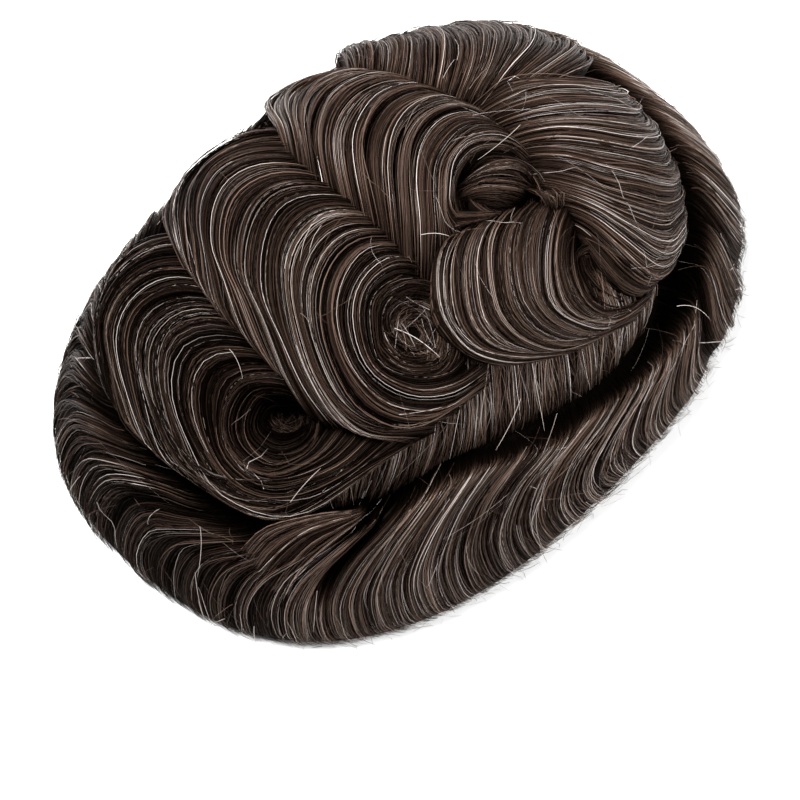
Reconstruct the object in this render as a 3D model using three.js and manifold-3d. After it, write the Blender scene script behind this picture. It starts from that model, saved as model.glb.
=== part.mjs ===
// A toupee hairpiece: a thin curved base under waved locks of hair, with a rolled edge of hair that it
// rests on. Millimetres. +Z is up, the front hairline faces -Y, the wearer's left is +X. The origin is
// at the middle of the surface that it rests on.

import * as THREE from "three";
import { mergeVertices } from "three/addons/utils/BufferGeometryUtils.js";
import Module from "manifold-3d";

const wasm = await Module();
wasm.setup();

// The base, an 8 by 10 inch cap as it measures once it is curved to the head
const BASE_LENGTH = 214;
const BASE_WIDTH = 148;
const BASE_RISE = 61;
const BASE_WALL = 1.2;
const BASE_EDGE_HEIGHT = 4.5;

// The hair outside the base
const HAIR_DEPTH_AT_END = 19;
const HAIR_DEPTH_AT_SIDE = 18;
const HAIR_DEPTH_ON_TOP = 25.5;
const ROOT_CLEARANCE = 0.85;
const PARTING_GAP = 0.6;
const STRIP_RELIEF = 2.6;
const ROLL_RELIEF = 1.1;
const EDGE_TUCK = 3;
const EDGE_TUCK_HEIGHT = 9;
const SOLE_WIDTH = 9;

// The plan is a superellipse, and the dome's edge stands this steep
const PLAN_POWER = 2.41;
const EDGE_STEEPNESS = THREE.MathUtils.degToRad(77);

// Depths, as shares of the hair's, that the cuts between locks run from and to
const CUT_FROM = -0.5;
const CUT_TO = 2.2;

// Facets
const MERGE_DISTANCE = 1e-5;
const BASE_SIDES = 40;
const BASE_RINGS = 8;
const LOCK_STEPS = 10;
const UNDER_LAYER_STEPS = 3;
const LOCK_STRIPS = 6;
const CORE_SIDES = 10;
const RIM_STEPS = 6;
const RIM_STRIPS_IN_A_TURN = 60;

const base = {
  halfWidth: BASE_WIDTH / 2,
  halfLength: BASE_LENGTH / 2,
  rise: BASE_RISE,
  foot: BASE_EDGE_HEIGHT,
};
const baseInside = {
  halfWidth: base.halfWidth - BASE_WALL,
  halfLength: base.halfLength - BASE_WALL,
  rise: base.rise - BASE_WALL,
  foot: base.foot,
};
const crest = {
  halfWidth: base.halfWidth + HAIR_DEPTH_AT_SIDE,
  halfLength: base.halfLength + HAIR_DEPTH_AT_END,
  rise: BASE_EDGE_HEIGHT + BASE_RISE + HAIR_DEPTH_ON_TOP,
  foot: 0,
};

// Places on the plan are shares: across runs from -1 at the far side to 1 at the near side, along runs
// from -1 at the front to 1 at the back. A depth of 0 is on the base and 1 on the hair's crests.

// The closed groove round the waves, as its reach from the middle at sixteen even turns from the near side
const GROOVE = [0.87, 0.905, 0.865, 0.81, 0.82, 0.83, 0.86, 0.865, 0.865, 0.865, 0.86, 0.84, 0.832, 0.84,
  0.82, 0.8];

// The partings between the locks, each as [across, along] points
const PARTINGS = {
  front: [[-0.82, -0.3], [-0.7, -0.35], [-0.56, -0.41], [-0.4, -0.46], [-0.22, -0.49], [0, -0.52],
    [0.2, -0.54], [0.38, -0.545], [0.55, -0.53]],
  middle: [[-0.9, 0.1], [-0.74, 0.06], [-0.58, 0.01], [-0.42, -0.04], [-0.26, -0.07], [-0.05, -0.085],
    [0.14, -0.1], [0.3, -0.1]],
  crown: [[-0.9, 0.32], [-0.7, 0.35], [-0.5, 0.36], [-0.3, 0.37], [-0.1, 0.395], [0.06, 0.405], [0.2, 0.38],
    [0.3, 0.35], [0.4, 0.335]],
  crownCurl: [[0.38, 0.37], [0.325, 0.27], [0.28, 0.18], [0.235, 0.09], [0.22, 0.01], [0.255, -0.07],
    [0.34, -0.145], [0.46, -0.2], [0.57, -0.21], [0.68, -0.15]],
  sweep: [[0.35, 0.345], [0.46, 0.33], [0.55, 0.295], [0.62, 0.265], [0.69, 0.26], [0.76, 0.285],
    [0.85, 0.37]],
  farWave: [[-0.12, 0.37], [-0.13, 0.46], [-0.11, 0.55], [-0.07, 0.63], [-0.035, 0.71], [-0.03, 0.79],
    [-0.05, 0.88]],
  underLayer: [[0.9, 0.49], [0.835, 0.41], [0.815, 0.3], [0.79, 0.18], [0.745, 0.06], [0.69, -0.05],
    [0.66, -0.16], [0.65, -0.27], [0.605, -0.39], [0.53, -0.5], [0.515, -0.6], [0.56, -0.7]],
};

// Each lock of the waves is a table with a row for each strand that shapes it: its lift, as a share of
// the lock's depth, and the place of its root, rise, shoulder, crest, fall, sweep and tip
const STATIONS = ["root", "rise", "shoulder", "crest", "fall", "sweep", "tip"];

const FRONT_CURL = {
  stations: STATIONS,
  steps: LOCK_STEPS,
  depth: [0.58, 0.86, 0.98, 1, 0.95, 0.86, 0.68],
  core: { place: [0.18, -0.62], reach: [0.19, 0.085], depth: 0.34 },
  strands: [
    { lift: 0.95, root: [-0.69, -0.33], rise: [-0.79, -0.37], shoulder: [-0.81, -0.46], crest: [-0.76, -0.56],
      fall: [-0.67, -0.65], sweep: [-0.55, -0.73], tip: [-0.42, -0.8] },
    { lift: 1, root: [-0.46, -0.42], rise: [-0.62, -0.46], shoulder: [-0.67, -0.53], crest: [-0.63, -0.62],
      fall: [-0.52, -0.7], sweep: [-0.36, -0.79], tip: [-0.2, -0.84] },
    { lift: 1, root: [-0.29, -0.46], rise: [-0.48, -0.49], shoulder: [-0.56, -0.56], crest: [-0.53, -0.64],
      fall: [-0.42, -0.72], sweep: [-0.24, -0.8], tip: [-0.05, -0.85] },
    { lift: 1, root: [-0.15, -0.48], rise: [-0.36, -0.52], shoulder: [-0.45, -0.59], crest: [-0.41, -0.67],
      fall: [-0.27, -0.75], sweep: [-0.09, -0.82], tip: [0.13, -0.86] },
    { lift: 1, root: [-0.03, -0.5], rise: [-0.23, -0.54], shoulder: [-0.32, -0.61], crest: [-0.27, -0.69],
      fall: [-0.13, -0.76], sweep: [0.07, -0.82], tip: [0.36, -0.83] },
    { lift: 0.98, root: [0.07, -0.51], rise: [-0.1, -0.56], shoulder: [-0.19, -0.62], crest: [-0.15, -0.7],
      fall: [-0.02, -0.76], sweep: [0.22, -0.79], tip: [0.5, -0.72] },
    { lift: 0.98, root: [0.17, -0.52], rise: [0.02, -0.56], shoulder: [-0.07, -0.63], crest: [-0.02, -0.7],
      fall: [0.11, -0.76], sweep: [0.32, -0.73], tip: [0.56, -0.58] },
    { lift: 0.95, root: [0.26, -0.53], rise: [0.11, -0.56], shoulder: [0.01, -0.62], crest: [0.03, -0.7],
      fall: [0.13, -0.74], sweep: [0.29, -0.7], tip: [0.44, -0.54] },
    { lift: 0.72, root: [0.25, -0.58], rise: [0.15, -0.58], shoulder: [0.07, -0.62], crest: [0.08, -0.68],
      fall: [0.14, -0.71], sweep: [0.24, -0.68], tip: [0.32, -0.59] },
    { lift: 0.42, root: [0.21, -0.61], rise: [0.16, -0.61], shoulder: [0.12, -0.63], crest: [0.12, -0.66],
      fall: [0.15, -0.67], sweep: [0.2, -0.65], tip: [0.24, -0.625] },
  ],
};

const MIDDLE_CURL = {
  stations: STATIONS,
  steps: LOCK_STEPS,
  depth: [0.58, 0.86, 0.98, 1, 0.96, 0.86, 0.66],
  core: { place: [0.36, -0.23], reach: [0.17, 0.1], depth: 0.36 },
  strands: [
    { lift: 0.95, root: [-0.74, 0.1], rise: [-0.86, 0.05], shoulder: [-0.89, -0.05], crest: [-0.87, -0.16],
      fall: [-0.8, -0.26], sweep: [-0.72, -0.33], tip: [-0.6, -0.4] },
    { lift: 1, root: [-0.57, 0.03], rise: [-0.7, -0.04], shoulder: [-0.74, -0.12], crest: [-0.69, -0.22],
      fall: [-0.6, -0.31], sweep: [-0.49, -0.39], tip: [-0.36, -0.48] },
    { lift: 1, root: [-0.45, -0.02], rise: [-0.58, -0.09], shoulder: [-0.62, -0.17], crest: [-0.57, -0.27],
      fall: [-0.48, -0.36], sweep: [-0.36, -0.43], tip: [-0.21, -0.51] },
    { lift: 1, root: [-0.32, -0.05], rise: [-0.44, -0.12], shoulder: [-0.48, -0.21], crest: [-0.44, -0.3],
      fall: [-0.33, -0.4], sweep: [-0.19, -0.46], tip: [-0.01, -0.53] },
    { lift: 1, root: [-0.19, -0.06], rise: [-0.29, -0.14], shoulder: [-0.32, -0.22], crest: [-0.27, -0.32],
      fall: [-0.16, -0.42], sweep: [0, -0.48], tip: [0.17, -0.55] },
    { lift: 1, root: [-0.05, -0.07], rise: [-0.14, -0.15], shoulder: [-0.16, -0.24], crest: [-0.11, -0.34],
      fall: [0.02, -0.43], sweep: [0.19, -0.5], tip: [0.38, -0.56] },
    { lift: 1, root: [0.05, -0.08], rise: [-0.02, -0.17], shoulder: [-0.02, -0.27], crest: [0.05, -0.37],
      fall: [0.19, -0.45], sweep: [0.36, -0.49], tip: [0.56, -0.48] },
    { lift: 1, root: [0.15, -0.09], rise: [0.08, -0.17], shoulder: [0.09, -0.27], crest: [0.16, -0.36],
      fall: [0.3, -0.42], sweep: [0.48, -0.42], tip: [0.67, -0.32] },
    { lift: 0.96, root: [0.24, -0.09], rise: [0.16, -0.16], shoulder: [0.15, -0.26], crest: [0.22, -0.34],
      fall: [0.35, -0.38], sweep: [0.5, -0.35], tip: [0.66, -0.19] },
    { lift: 0.72, root: [0.33, -0.14], rise: [0.23, -0.17], shoulder: [0.2, -0.25], crest: [0.26, -0.31],
      fall: [0.35, -0.33], sweep: [0.44, -0.3], tip: [0.5, -0.19] },
    { lift: 0.45, root: [0.34, -0.21], rise: [0.29, -0.215], shoulder: [0.27, -0.25], crest: [0.3, -0.28],
      fall: [0.35, -0.285], sweep: [0.39, -0.265], tip: [0.4, -0.235] },
  ],
};

const UPPER_CURL = {
  stations: STATIONS,
  steps: LOCK_STEPS,
  depth: [0.56, 0.86, 0.98, 1, 0.96, 0.84, 0.6],
  core: { place: [0.22, 0.23], reach: [0.12, 0.09], depth: 0.42 },
  strands: [
    { lift: 0.93, root: [-0.71, 0.37], rise: [-0.81, 0.31], shoulder: [-0.86, 0.23], crest: [-0.85, 0.17],
      fall: [-0.79, 0.11], sweep: [-0.71, 0.07], tip: [-0.6, 0] },
    { lift: 1, root: [-0.55, 0.38], rise: [-0.65, 0.31], shoulder: [-0.68, 0.22], crest: [-0.65, 0.14],
      fall: [-0.58, 0.07], sweep: [-0.51, 0.02], tip: [-0.42, -0.05] },
    { lift: 1, root: [-0.4, 0.39], rise: [-0.51, 0.31], shoulder: [-0.54, 0.22], crest: [-0.53, 0.14],
      fall: [-0.48, 0.06], sweep: [-0.42, 0], tip: [-0.3, -0.08] },
    { lift: 1, root: [-0.26, 0.39], rise: [-0.36, 0.32], shoulder: [-0.4, 0.22], crest: [-0.38, 0.13],
      fall: [-0.33, 0.05], sweep: [-0.24, -0.02], tip: [-0.1, -0.1] },
    { lift: 1, root: [-0.13, 0.4], rise: [-0.23, 0.33], shoulder: [-0.26, 0.23], crest: [-0.23, 0.13],
      fall: [-0.15, 0.04], sweep: [-0.05, -0.03], tip: [0.08, -0.11] },
    { lift: 1, root: [-0.02, 0.41], rise: [-0.1, 0.34], shoulder: [-0.13, 0.24], crest: [-0.1, 0.14],
      fall: [-0.02, 0.05], sweep: [0.09, -0.03], tip: [0.21, -0.12] },
    { lift: 0.98, root: [0.09, 0.41], rise: [0.01, 0.34], shoulder: [-0.02, 0.26], crest: [0.01, 0.14],
      fall: [0.09, 0.06], sweep: [0.18, 0], tip: [0.28, -0.07] },
    { lift: 0.92, root: [0.2, 0.39], rise: [0.1, 0.35], shoulder: [0.03, 0.26], crest: [0.07, 0.17],
      fall: [0.13, 0.1], sweep: [0.2, 0.06], tip: [0.27, 0.03] },
    { lift: 0.6, root: [0.3, 0.35], rise: [0.18, 0.33], shoulder: [0.09, 0.28], crest: [0.1, 0.2],
      fall: [0.16, 0.14], sweep: [0.23, 0.12], tip: [0.3, 0.12] },
    { lift: 0.78, root: [0.29, 0.27], rise: [0.22, 0.28], shoulder: [0.16, 0.26], crest: [0.16, 0.22],
      fall: [0.19, 0.19], sweep: [0.24, 0.18], tip: [0.29, 0.2] },
  ],
};

const CROWN_CURL = {
  stations: STATIONS,
  steps: LOCK_STEPS,
  depth: [0.62, 0.82, 0.93, 1, 1, 0.92, 0.76],
  strands: [
    { lift: 0.9, root: [0.22, 0.04], rise: [0.22, -0.02], shoulder: [0.26, -0.09], crest: [0.36, -0.165],
      fall: [0.48, -0.22], sweep: [0.61, -0.2], tip: [0.71, -0.11] },
    { lift: 0.96, root: [0.25, 0.14], rise: [0.26, 0.05], shoulder: [0.32, -0.04], crest: [0.41, -0.11],
      fall: [0.51, -0.145], sweep: [0.62, -0.12], tip: [0.73, -0.04] },
    { lift: 0.99, root: [0.29, 0.22], rise: [0.31, 0.12], shoulder: [0.36, 0.04], crest: [0.45, -0.03],
      fall: [0.55, -0.065], sweep: [0.65, -0.05], tip: [0.77, 0.03] },
    { lift: 1, root: [0.33, 0.3], rise: [0.35, 0.2], shoulder: [0.41, 0.11], crest: [0.5, 0.04],
      fall: [0.58, 0.01], sweep: [0.68, 0.03], tip: [0.81, 0.11] },
    { lift: 0.96, root: [0.37, 0.35], rise: [0.41, 0.26], shoulder: [0.47, 0.18], crest: [0.55, 0.11],
      fall: [0.63, 0.08], sweep: [0.72, 0.1], tip: [0.83, 0.19] },
    { lift: 0.86, root: [0.44, 0.35], rise: [0.48, 0.27], shoulder: [0.54, 0.2], crest: [0.61, 0.16],
      fall: [0.68, 0.15], sweep: [0.75, 0.19], tip: [0.85, 0.28] },
    { lift: 0.62, root: [0.54, 0.32], rise: [0.57, 0.28], shoulder: [0.61, 0.245], crest: [0.66, 0.225],
      fall: [0.71, 0.225], sweep: [0.77, 0.26], tip: [0.86, 0.35] },
  ],
};

const CROWN_SWEEP = {
  stations: STATIONS,
  steps: LOCK_STEPS,
  depth: [0.56, 0.82, 0.95, 1, 0.98, 0.92, 0.78],
  strands: [
    { lift: 0.7, root: [0.42, 0.31], rise: [0.51, 0.29], shoulder: [0.59, 0.26], crest: [0.67, 0.24],
      fall: [0.75, 0.265], sweep: [0.83, 0.33], tip: [0.88, 0.4] },
    { lift: 0.97, root: [0.36, 0.33], rise: [0.47, 0.34], shoulder: [0.58, 0.35], crest: [0.67, 0.37],
      fall: [0.75, 0.4], sweep: [0.8, 0.45], tip: [0.84, 0.52] },
    { lift: 1, root: [0.27, 0.34], rise: [0.4, 0.38], shoulder: [0.51, 0.42], crest: [0.59, 0.47],
      fall: [0.64, 0.53], sweep: [0.67, 0.59], tip: [0.69, 0.66] },
    { lift: 1, root: [0.16, 0.37], rise: [0.27, 0.42], shoulder: [0.38, 0.47], crest: [0.46, 0.54],
      fall: [0.49, 0.61], sweep: [0.49, 0.68], tip: [0.47, 0.77] },
    { lift: 1, root: [0.07, 0.38], rise: [0.15, 0.45], shoulder: [0.24, 0.52], crest: [0.31, 0.59],
      fall: [0.34, 0.66], sweep: [0.33, 0.73], tip: [0.29, 0.82] },
    { lift: 0.98, root: [-0.03, 0.38], rise: [0.04, 0.46], shoulder: [0.11, 0.54], crest: [0.16, 0.62],
      fall: [0.19, 0.7], sweep: [0.18, 0.77], tip: [0.14, 0.85] },
    { lift: 0.92, root: [-0.14, 0.38], rise: [-0.14, 0.46], shoulder: [-0.12, 0.55], crest: [-0.08, 0.63],
      fall: [-0.045, 0.71], sweep: [-0.04, 0.79], tip: [-0.06, 0.87] },
  ],
};

const FAR_WAVE = {
  stations: STATIONS,
  steps: LOCK_STEPS,
  depth: [0.6, 0.9, 1.04, 1.08, 1.04, 0.98, 0.84],
  strands: [
    { lift: 0.9, root: [-0.7, 0.33], rise: [-0.77, 0.36], shoulder: [-0.82, 0.39], crest: [-0.85, 0.42],
      fall: [-0.86, 0.45], sweep: [-0.87, 0.48], tip: [-0.86, 0.52] },
    { lift: 0.97, root: [-0.5, 0.35], rise: [-0.59, 0.4], shoulder: [-0.66, 0.45], crest: [-0.71, 0.49],
      fall: [-0.74, 0.53], sweep: [-0.77, 0.57], tip: [-0.79, 0.61] },
    { lift: 1, root: [-0.37, 0.36], rise: [-0.46, 0.44], shoulder: [-0.54, 0.51], crest: [-0.6, 0.57],
      fall: [-0.65, 0.62], sweep: [-0.68, 0.66], tip: [-0.71, 0.71] },
    { lift: 1, root: [-0.26, 0.36], rise: [-0.33, 0.46], shoulder: [-0.41, 0.55], crest: [-0.47, 0.62],
      fall: [-0.52, 0.68], sweep: [-0.55, 0.73], tip: [-0.58, 0.78] },
    { lift: 1, root: [-0.19, 0.37], rise: [-0.24, 0.49], shoulder: [-0.3, 0.59], crest: [-0.35, 0.67],
      fall: [-0.4, 0.74], sweep: [-0.43, 0.79], tip: [-0.46, 0.84] },
    { lift: 0.98, root: [-0.15, 0.38], rise: [-0.17, 0.5], shoulder: [-0.19, 0.61], crest: [-0.22, 0.7],
      fall: [-0.25, 0.77], sweep: [-0.28, 0.82], tip: [-0.3, 0.88] },
    { lift: 0.9, root: [-0.11, 0.38], rise: [-0.11, 0.48], shoulder: [-0.08, 0.58], crest: [-0.04, 0.68],
      fall: [-0.02, 0.76], sweep: [-0.03, 0.83], tip: [-0.06, 0.89] },
  ],
};

const UNDER_LAYER = {
  stations: ["root", "fall", "tip"],
  steps: UNDER_LAYER_STEPS,
  depth: [0.5, 0.4, 0.22],
  strands: [
    { lift: 1, root: [0.8, 0.44], fall: [0.87, 0.43], tip: [0.93, 0.41] },
    { lift: 1, root: [0.79, 0.3], fall: [0.84, 0.27], tip: [0.91, 0.24] },
    { lift: 1, root: [0.75, 0.14], fall: [0.83, 0.1], tip: [0.91, 0.06] },
    { lift: 1, root: [0.68, 0], fall: [0.78, -0.05], tip: [0.87, -0.09] },
    { lift: 1, root: [0.64, -0.14], fall: [0.74, -0.19], tip: [0.83, -0.24] },
    { lift: 1, root: [0.62, -0.27], fall: [0.7, -0.33], tip: [0.78, -0.38] },
    { lift: 1, root: [0.57, -0.38], fall: [0.65, -0.45], tip: [0.73, -0.51] },
    { lift: 1, root: [0.5, -0.49], fall: [0.59, -0.54], tip: [0.68, -0.59] },
    { lift: 1, root: [0.48, -0.62], fall: [0.56, -0.64], tip: [0.64, -0.67] },
    { lift: 1, root: [0.51, -0.73], fall: [0.56, -0.73], tip: [0.62, -0.74] },
  ],
};

// The rolled edge, as rows from the groove to the resting edge: reach is the share of the way across the
// roll, and drift the share of the strands' drift round the edge
const ROLL = [
  { reach: 0, depth: 0.34, drift: 0 },
  { reach: 0.1, depth: 0.7, drift: 0.22 },
  { reach: 0.28, depth: 0.93, drift: 0.6 },
  { reach: 0.52, depth: 1, drift: 0.92 },
  { reach: 0.76, depth: 1, drift: 1 },
  { reach: 0.92, depth: 1, drift: 0.88 },
  { reach: 1, depth: 1, drift: 0.7 },
];

// How far the roll's strands drift round the edge, in turns, at sixteen even turns from the near side
const DRIFT = [-0.04, -0.035, -0.03, -0.025, -0.03, -0.04, -0.045, -0.045, -0.045, -0.045, -0.05, -0.062,
  -0.066, -0.06, -0.048, -0.045];

const RIMS = {
  rim_near_back: { from: 0.005, to: 0.21 },
  rim_back: { from: 0.21, to: 0.4 },
  rim_far_side: { from: 0.4, to: 0.61 },
  rim_front: { from: 0.61, to: 0.872 },
  rim_near_front: { from: 0.872, to: 1.005 },
};

// Shapes

function signedPower(value, power) {
  return Math.sign(value) * Math.abs(value) ** power;
}

function planPlace(turn, reach) {
  const angle = 2 * Math.PI * turn;
  return [Math.cos(angle), Math.sin(angle)].map((value) => reach * signedPower(value, 2 / PLAN_POWER));
}

function planReach(across, along) {
  const sum = Math.abs(across) ** PLAN_POWER + Math.abs(along) ** PLAN_POWER;
  return Math.min(1, sum ** (1 / PLAN_POWER));
}

function domePoint(across, along, dome) {
  const slope = Math.asin(planReach(across, along) * Math.sin(EDGE_STEEPNESS));
  const share = (Math.cos(slope) - Math.cos(EDGE_STEEPNESS)) / (1 - Math.cos(EDGE_STEEPNESS));
  const height = dome.foot + dome.rise * share;
  return new THREE.Vector3(across * dome.halfWidth, along * dome.halfLength, height);
}

// The crests' dome, drawn in a little where the hair curls under at the resting edge
function crestPoint(across, along) {
  const point = domePoint(across, along, crest);
  const low = Math.max(0, 1 - point.z / EDGE_TUCK_HEIGHT);
  const length = Math.hypot(point.x, point.y) || 1;
  const tuck = 1 - (EDGE_TUCK * low * low) / length;
  return new THREE.Vector3(point.x * tuck, point.y * tuck, point.z);
}

function hairPoint(across, along, depth) {
  return domePoint(across, along, base).lerp(crestPoint(across, along), depth);
}

// A point just clear of the base, where the hair of a lock begins
function rootPoint(across, along) {
  const thickness = domePoint(across, along, base).distanceTo(crestPoint(across, along));
  return hairPoint(across, along, ROOT_CLEARANCE / thickness);
}

function valueAtTurn(values, turn) {
  const place = (((turn % 1) + 1) % 1) * values.length;
  const first = Math.floor(place);
  const points = [-1, 0, 1, 2].map((step) => values[(first + step + values.length) % values.length]);
  return new THREE.SplineCurve([
    new THREE.Vector2(0, points[0]),
    new THREE.Vector2(1, points[1]),
    new THREE.Vector2(2, points[2]),
    new THREE.Vector2(3, points[3]),
  ]).getPoint((1 + place - first) / 3).y;
}

function geometryOf(points, faces) {
  const geometry = new THREE.BufferGeometry();
  const numbers = points.flatMap((point) => point.toArray());
  geometry.setAttribute("position", new THREE.Float32BufferAttribute(numbers, 3));
  geometry.setIndex(faces.flat());
  return geometry;
}

function signedVolume(points, faces) {
  const cross = new THREE.Vector3();
  const share = ([a, b, c]) => points[a].dot(cross.crossVectors(points[b], points[c])) / 6;
  return faces.reduce((sum, face) => sum + share(face), 0);
}

// A closed solid between two grids of points with the same rows and columns
function slabGeometry(top, bottom) {
  const rows = top.length;
  const columns = top[0].length;
  const points = [...top.flat(), ...bottom.flat()];
  const under = rows * columns;
  const at = (row, column) => row * columns + column;
  const faces = [];
  const quad = (a, b, c, d) => faces.push([a, b, c], [a, c, d]);
  const wall = (a, b) => quad(a, under + a, under + b, b);
  for (let i = 0; i < rows - 1; i += 1) {
    for (let j = 0; j < columns - 1; j += 1) {
      quad(at(i, j), at(i + 1, j), at(i + 1, j + 1), at(i, j + 1));
      quad(under + at(i, j), under + at(i, j + 1), under + at(i + 1, j + 1), under + at(i + 1, j));
    }
    wall(at(i, 0), at(i + 1, 0));
    wall(at(i + 1, columns - 1), at(i, columns - 1));
  }
  for (let j = 0; j < columns - 1; j += 1) {
    wall(at(0, j + 1), at(0, j));
    wall(at(rows - 1, j), at(rows - 1, j + 1));
  }
  const outward = signedVolume(points, faces) > 0 ? faces : faces.map(([a, b, c]) => [a, c, b]);
  return geometryOf(points, outward);
}

// A strip of hair stands proud along its middle, so every other column of the grid is raised, most of
// all half way along the strip
function stripLift(column, share, relief) {
  return column % 2 === 1 ? (Math.sin(Math.PI * share) * relief) / HAIR_DEPTH_ON_TOP : 0;
}

function evenPoints(places, steps) {
  return new THREE.CatmullRomCurve3(places).getSpacedPoints(steps);
}

function lockGeometry({ stations, steps, depth, strands }) {
  const paths = strands.map((strand) => {
    const places = stations.map((name, i) => new THREE.Vector3(...strand[name], depth[i] * strand.lift));
    return evenPoints(places, steps);
  });
  const grid = paths[0].map((_, step) => evenPoints(paths.map((path) => path[step]), 2 * LOCK_STRIPS));
  const top = grid.map((row, step) => row.map((p, column) => {
    const relief = stripLift(column, step / (grid.length - 1), STRIP_RELIEF);
    return hairPoint(p.x, p.y, p.z + relief);
  }));
  const bottom = grid.map((row) => row.map((p) => rootPoint(p.x, p.y)));
  return slabGeometry(top, bottom);
}

// The low ground in the hollow of a curl, one mound of hair that the curl's strips are fused to
function coreGeometry({ place, reach, depth }) {
  const ring = Array.from({ length: CORE_SIDES }, (_, i) => {
    const angle = (2 * Math.PI * i) / CORE_SIDES;
    return [place[0] + reach[0] * Math.cos(angle), place[1] + reach[1] * Math.sin(angle)];
  });
  const points = [
    ...ring.map((spot) => hairPoint(...spot, depth)),
    ...ring.map((spot) => rootPoint(...spot)),
    hairPoint(...place, depth),
    rootPoint(...place),
  ];
  const faces = ring.flatMap((_, i) => {
    const next = (i + 1) % CORE_SIDES;
    const [under, underNext] = [CORE_SIDES + i, CORE_SIDES + next];
    return [[2 * CORE_SIDES, i, next], [2 * CORE_SIDES + 1, underNext, under], [i, under, underNext],
      [i, underNext, next]];
  });
  return geometryOf(points, faces);
}

function rimGeometry({ from, to }) {
  const profile = ROLL.map((row) => new THREE.Vector3(row.reach, row.depth, row.drift));
  const rows = new THREE.CatmullRomCurve3(profile).getPoints(RIM_STEPS);
  const margin = PARTING_GAP / 2 / (2 * Math.PI * Math.min(base.halfWidth, base.halfLength));
  const span = to - from - 2 * margin;
  const columns = 2 * Math.round(span * RIM_STRIPS_IN_A_TURN);
  const top = [];
  const bottom = [];
  for (let column = 0; column <= columns; column += 1) {
    const start = from + margin + (span * column) / columns;
    const drift = valueAtTurn(DRIFT, start);
    const places = rows.map((row) => {
      const turn = start + drift * row.z;
      const groove = valueAtTurn(GROOVE, turn) + PARTING_GAP / base.halfWidth;
      return planPlace(turn, groove + (1 - groove) * row.x);
    });
    top.push(rows.map((row, i) => {
      const relief = stripLift(column, i / (rows.length - 1), ROLL_RELIEF);
      return hairPoint(...places[i], row.y + relief);
    }));
    const inner = places.map((place) => rootPoint(...place));
    const edge = top[column][rows.length - 1];
    const inward = new THREE.Vector3(-edge.x, -edge.y, 0).setLength(SOLE_WIDTH);
    inner[rows.length - 1] = edge.clone().add(inward);
    bottom.push(inner);
  }
  return slabGeometry(top, bottom);
}

function baseGeometry() {
  const points = [];
  const faces = [];
  const ring = (dome, reach) => {
    const first = points.length;
    for (let side = 0; side < BASE_SIDES; side += 1) {
      points.push(domePoint(...planPlace(side / BASE_SIDES, reach), dome));
    }
    return first;
  };
  const join = (lower, upper) => {
    for (let side = 0; side < BASE_SIDES; side += 1) {
      const next = (side + 1) % BASE_SIDES;
      faces.push([lower + side, lower + next, upper + next], [lower + side, upper + next, upper + side]);
    }
  };
  const slopes = Array.from({ length: BASE_RINGS }, (_, i) => ((i + 1) / BASE_RINGS) * (Math.PI / 2));
  const reaches = slopes.map((slope) => Math.sin(slope));
  const outside = reaches.map((reach) => ring(base, reach));
  const inside = reaches.map((reach) => ring(baseInside, reach));
  for (let i = BASE_RINGS - 1; i > 0; i -= 1) {
    join(outside[i], outside[i - 1]);
    join(inside[i - 1], inside[i]);
  }
  join(inside[BASE_RINGS - 1], outside[BASE_RINGS - 1]);
  points.push(domePoint(0, 0, base), domePoint(0, 0, baseInside));
  const [peak, ceiling] = [points.length - 2, points.length - 1];
  for (let side = 0; side < BASE_SIDES; side += 1) {
    const next = (side + 1) % BASE_SIDES;
    faces.push([outside[0] + side, outside[0] + next, peak], [inside[0] + next, inside[0] + side, ceiling]);
  }
  return geometryOf(points, faces);
}

// Cuts

function solidOf(geometry) {
  const bare = geometry.clone();
  bare.deleteAttribute("normal");
  bare.deleteAttribute("uv");
  const merged = mergeVertices(bare, MERGE_DISTANCE);
  return new wasm.Manifold(new wasm.Mesh({
    numProp: 3,
    vertProperties: new Float32Array(merged.attributes.position.array),
    triVerts: new Uint32Array(merged.index.array),
  }));
}

function geometryFrom(solid) {
  const mesh = solid.getMesh();
  const geometry = new THREE.BufferGeometry();
  geometry.setAttribute("position", new THREE.BufferAttribute(new Float32Array(mesh.vertProperties), 3));
  geometry.setIndex(new THREE.BufferAttribute(new Uint32Array(mesh.triVerts), 1));
  return geometry;
}

// A thin wall along a parting, from below the base to above the crests, which leaves the gap between locks
function partingWall(places) {
  const scale = new THREE.Vector2(base.halfWidth, base.halfLength);
  const spline = new THREE.SplineCurve(places.map((place) => new THREE.Vector2(...place)));
  const line = spline.getPoints(2 * places.length);
  const side = (sign) => line.map((point, i) => {
    const next = line[Math.min(i + 1, line.length - 1)];
    const last = line[Math.max(i - 1, 0)];
    const run = next.clone().sub(last).multiply(scale).normalize();
    const across = point.x - (sign * run.y * PARTING_GAP) / 2 / base.halfWidth;
    const along = point.y + (sign * run.x * PARTING_GAP) / 2 / base.halfLength;
    return [hairPoint(across, along, CUT_FROM), hairPoint(across, along, CUT_TO)];
  });
  return solidOf(slabGeometry(side(1), side(-1)));
}

// All that lies inside the groove, as one block that the waves are trimmed to
function grooveBlock() {
  const sides = 4 * GROOVE.length;
  const ring = (depth) => Array.from({ length: sides }, (_, i) => {
    const turn = i / sides;
    return hairPoint(...planPlace(turn, valueAtTurn(GROOVE, turn)), depth);
  });
  const points = [...ring(CUT_FROM), ...ring(CUT_TO), hairPoint(0, 0, CUT_FROM), hairPoint(0, 0, 2 * CUT_TO)];
  const [floor, peak] = [2 * sides, 2 * sides + 1];
  const faces = [];
  for (let i = 0; i < sides; i += 1) {
    const next = (i + 1) % sides;
    faces.push([i, next, sides + next], [i, sides + next, sides + i]);
    faces.push([floor, next, i], [peak, sides + i, sides + next]);
  }
  return solidOf(geometryOf(points, faces));
}

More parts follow.
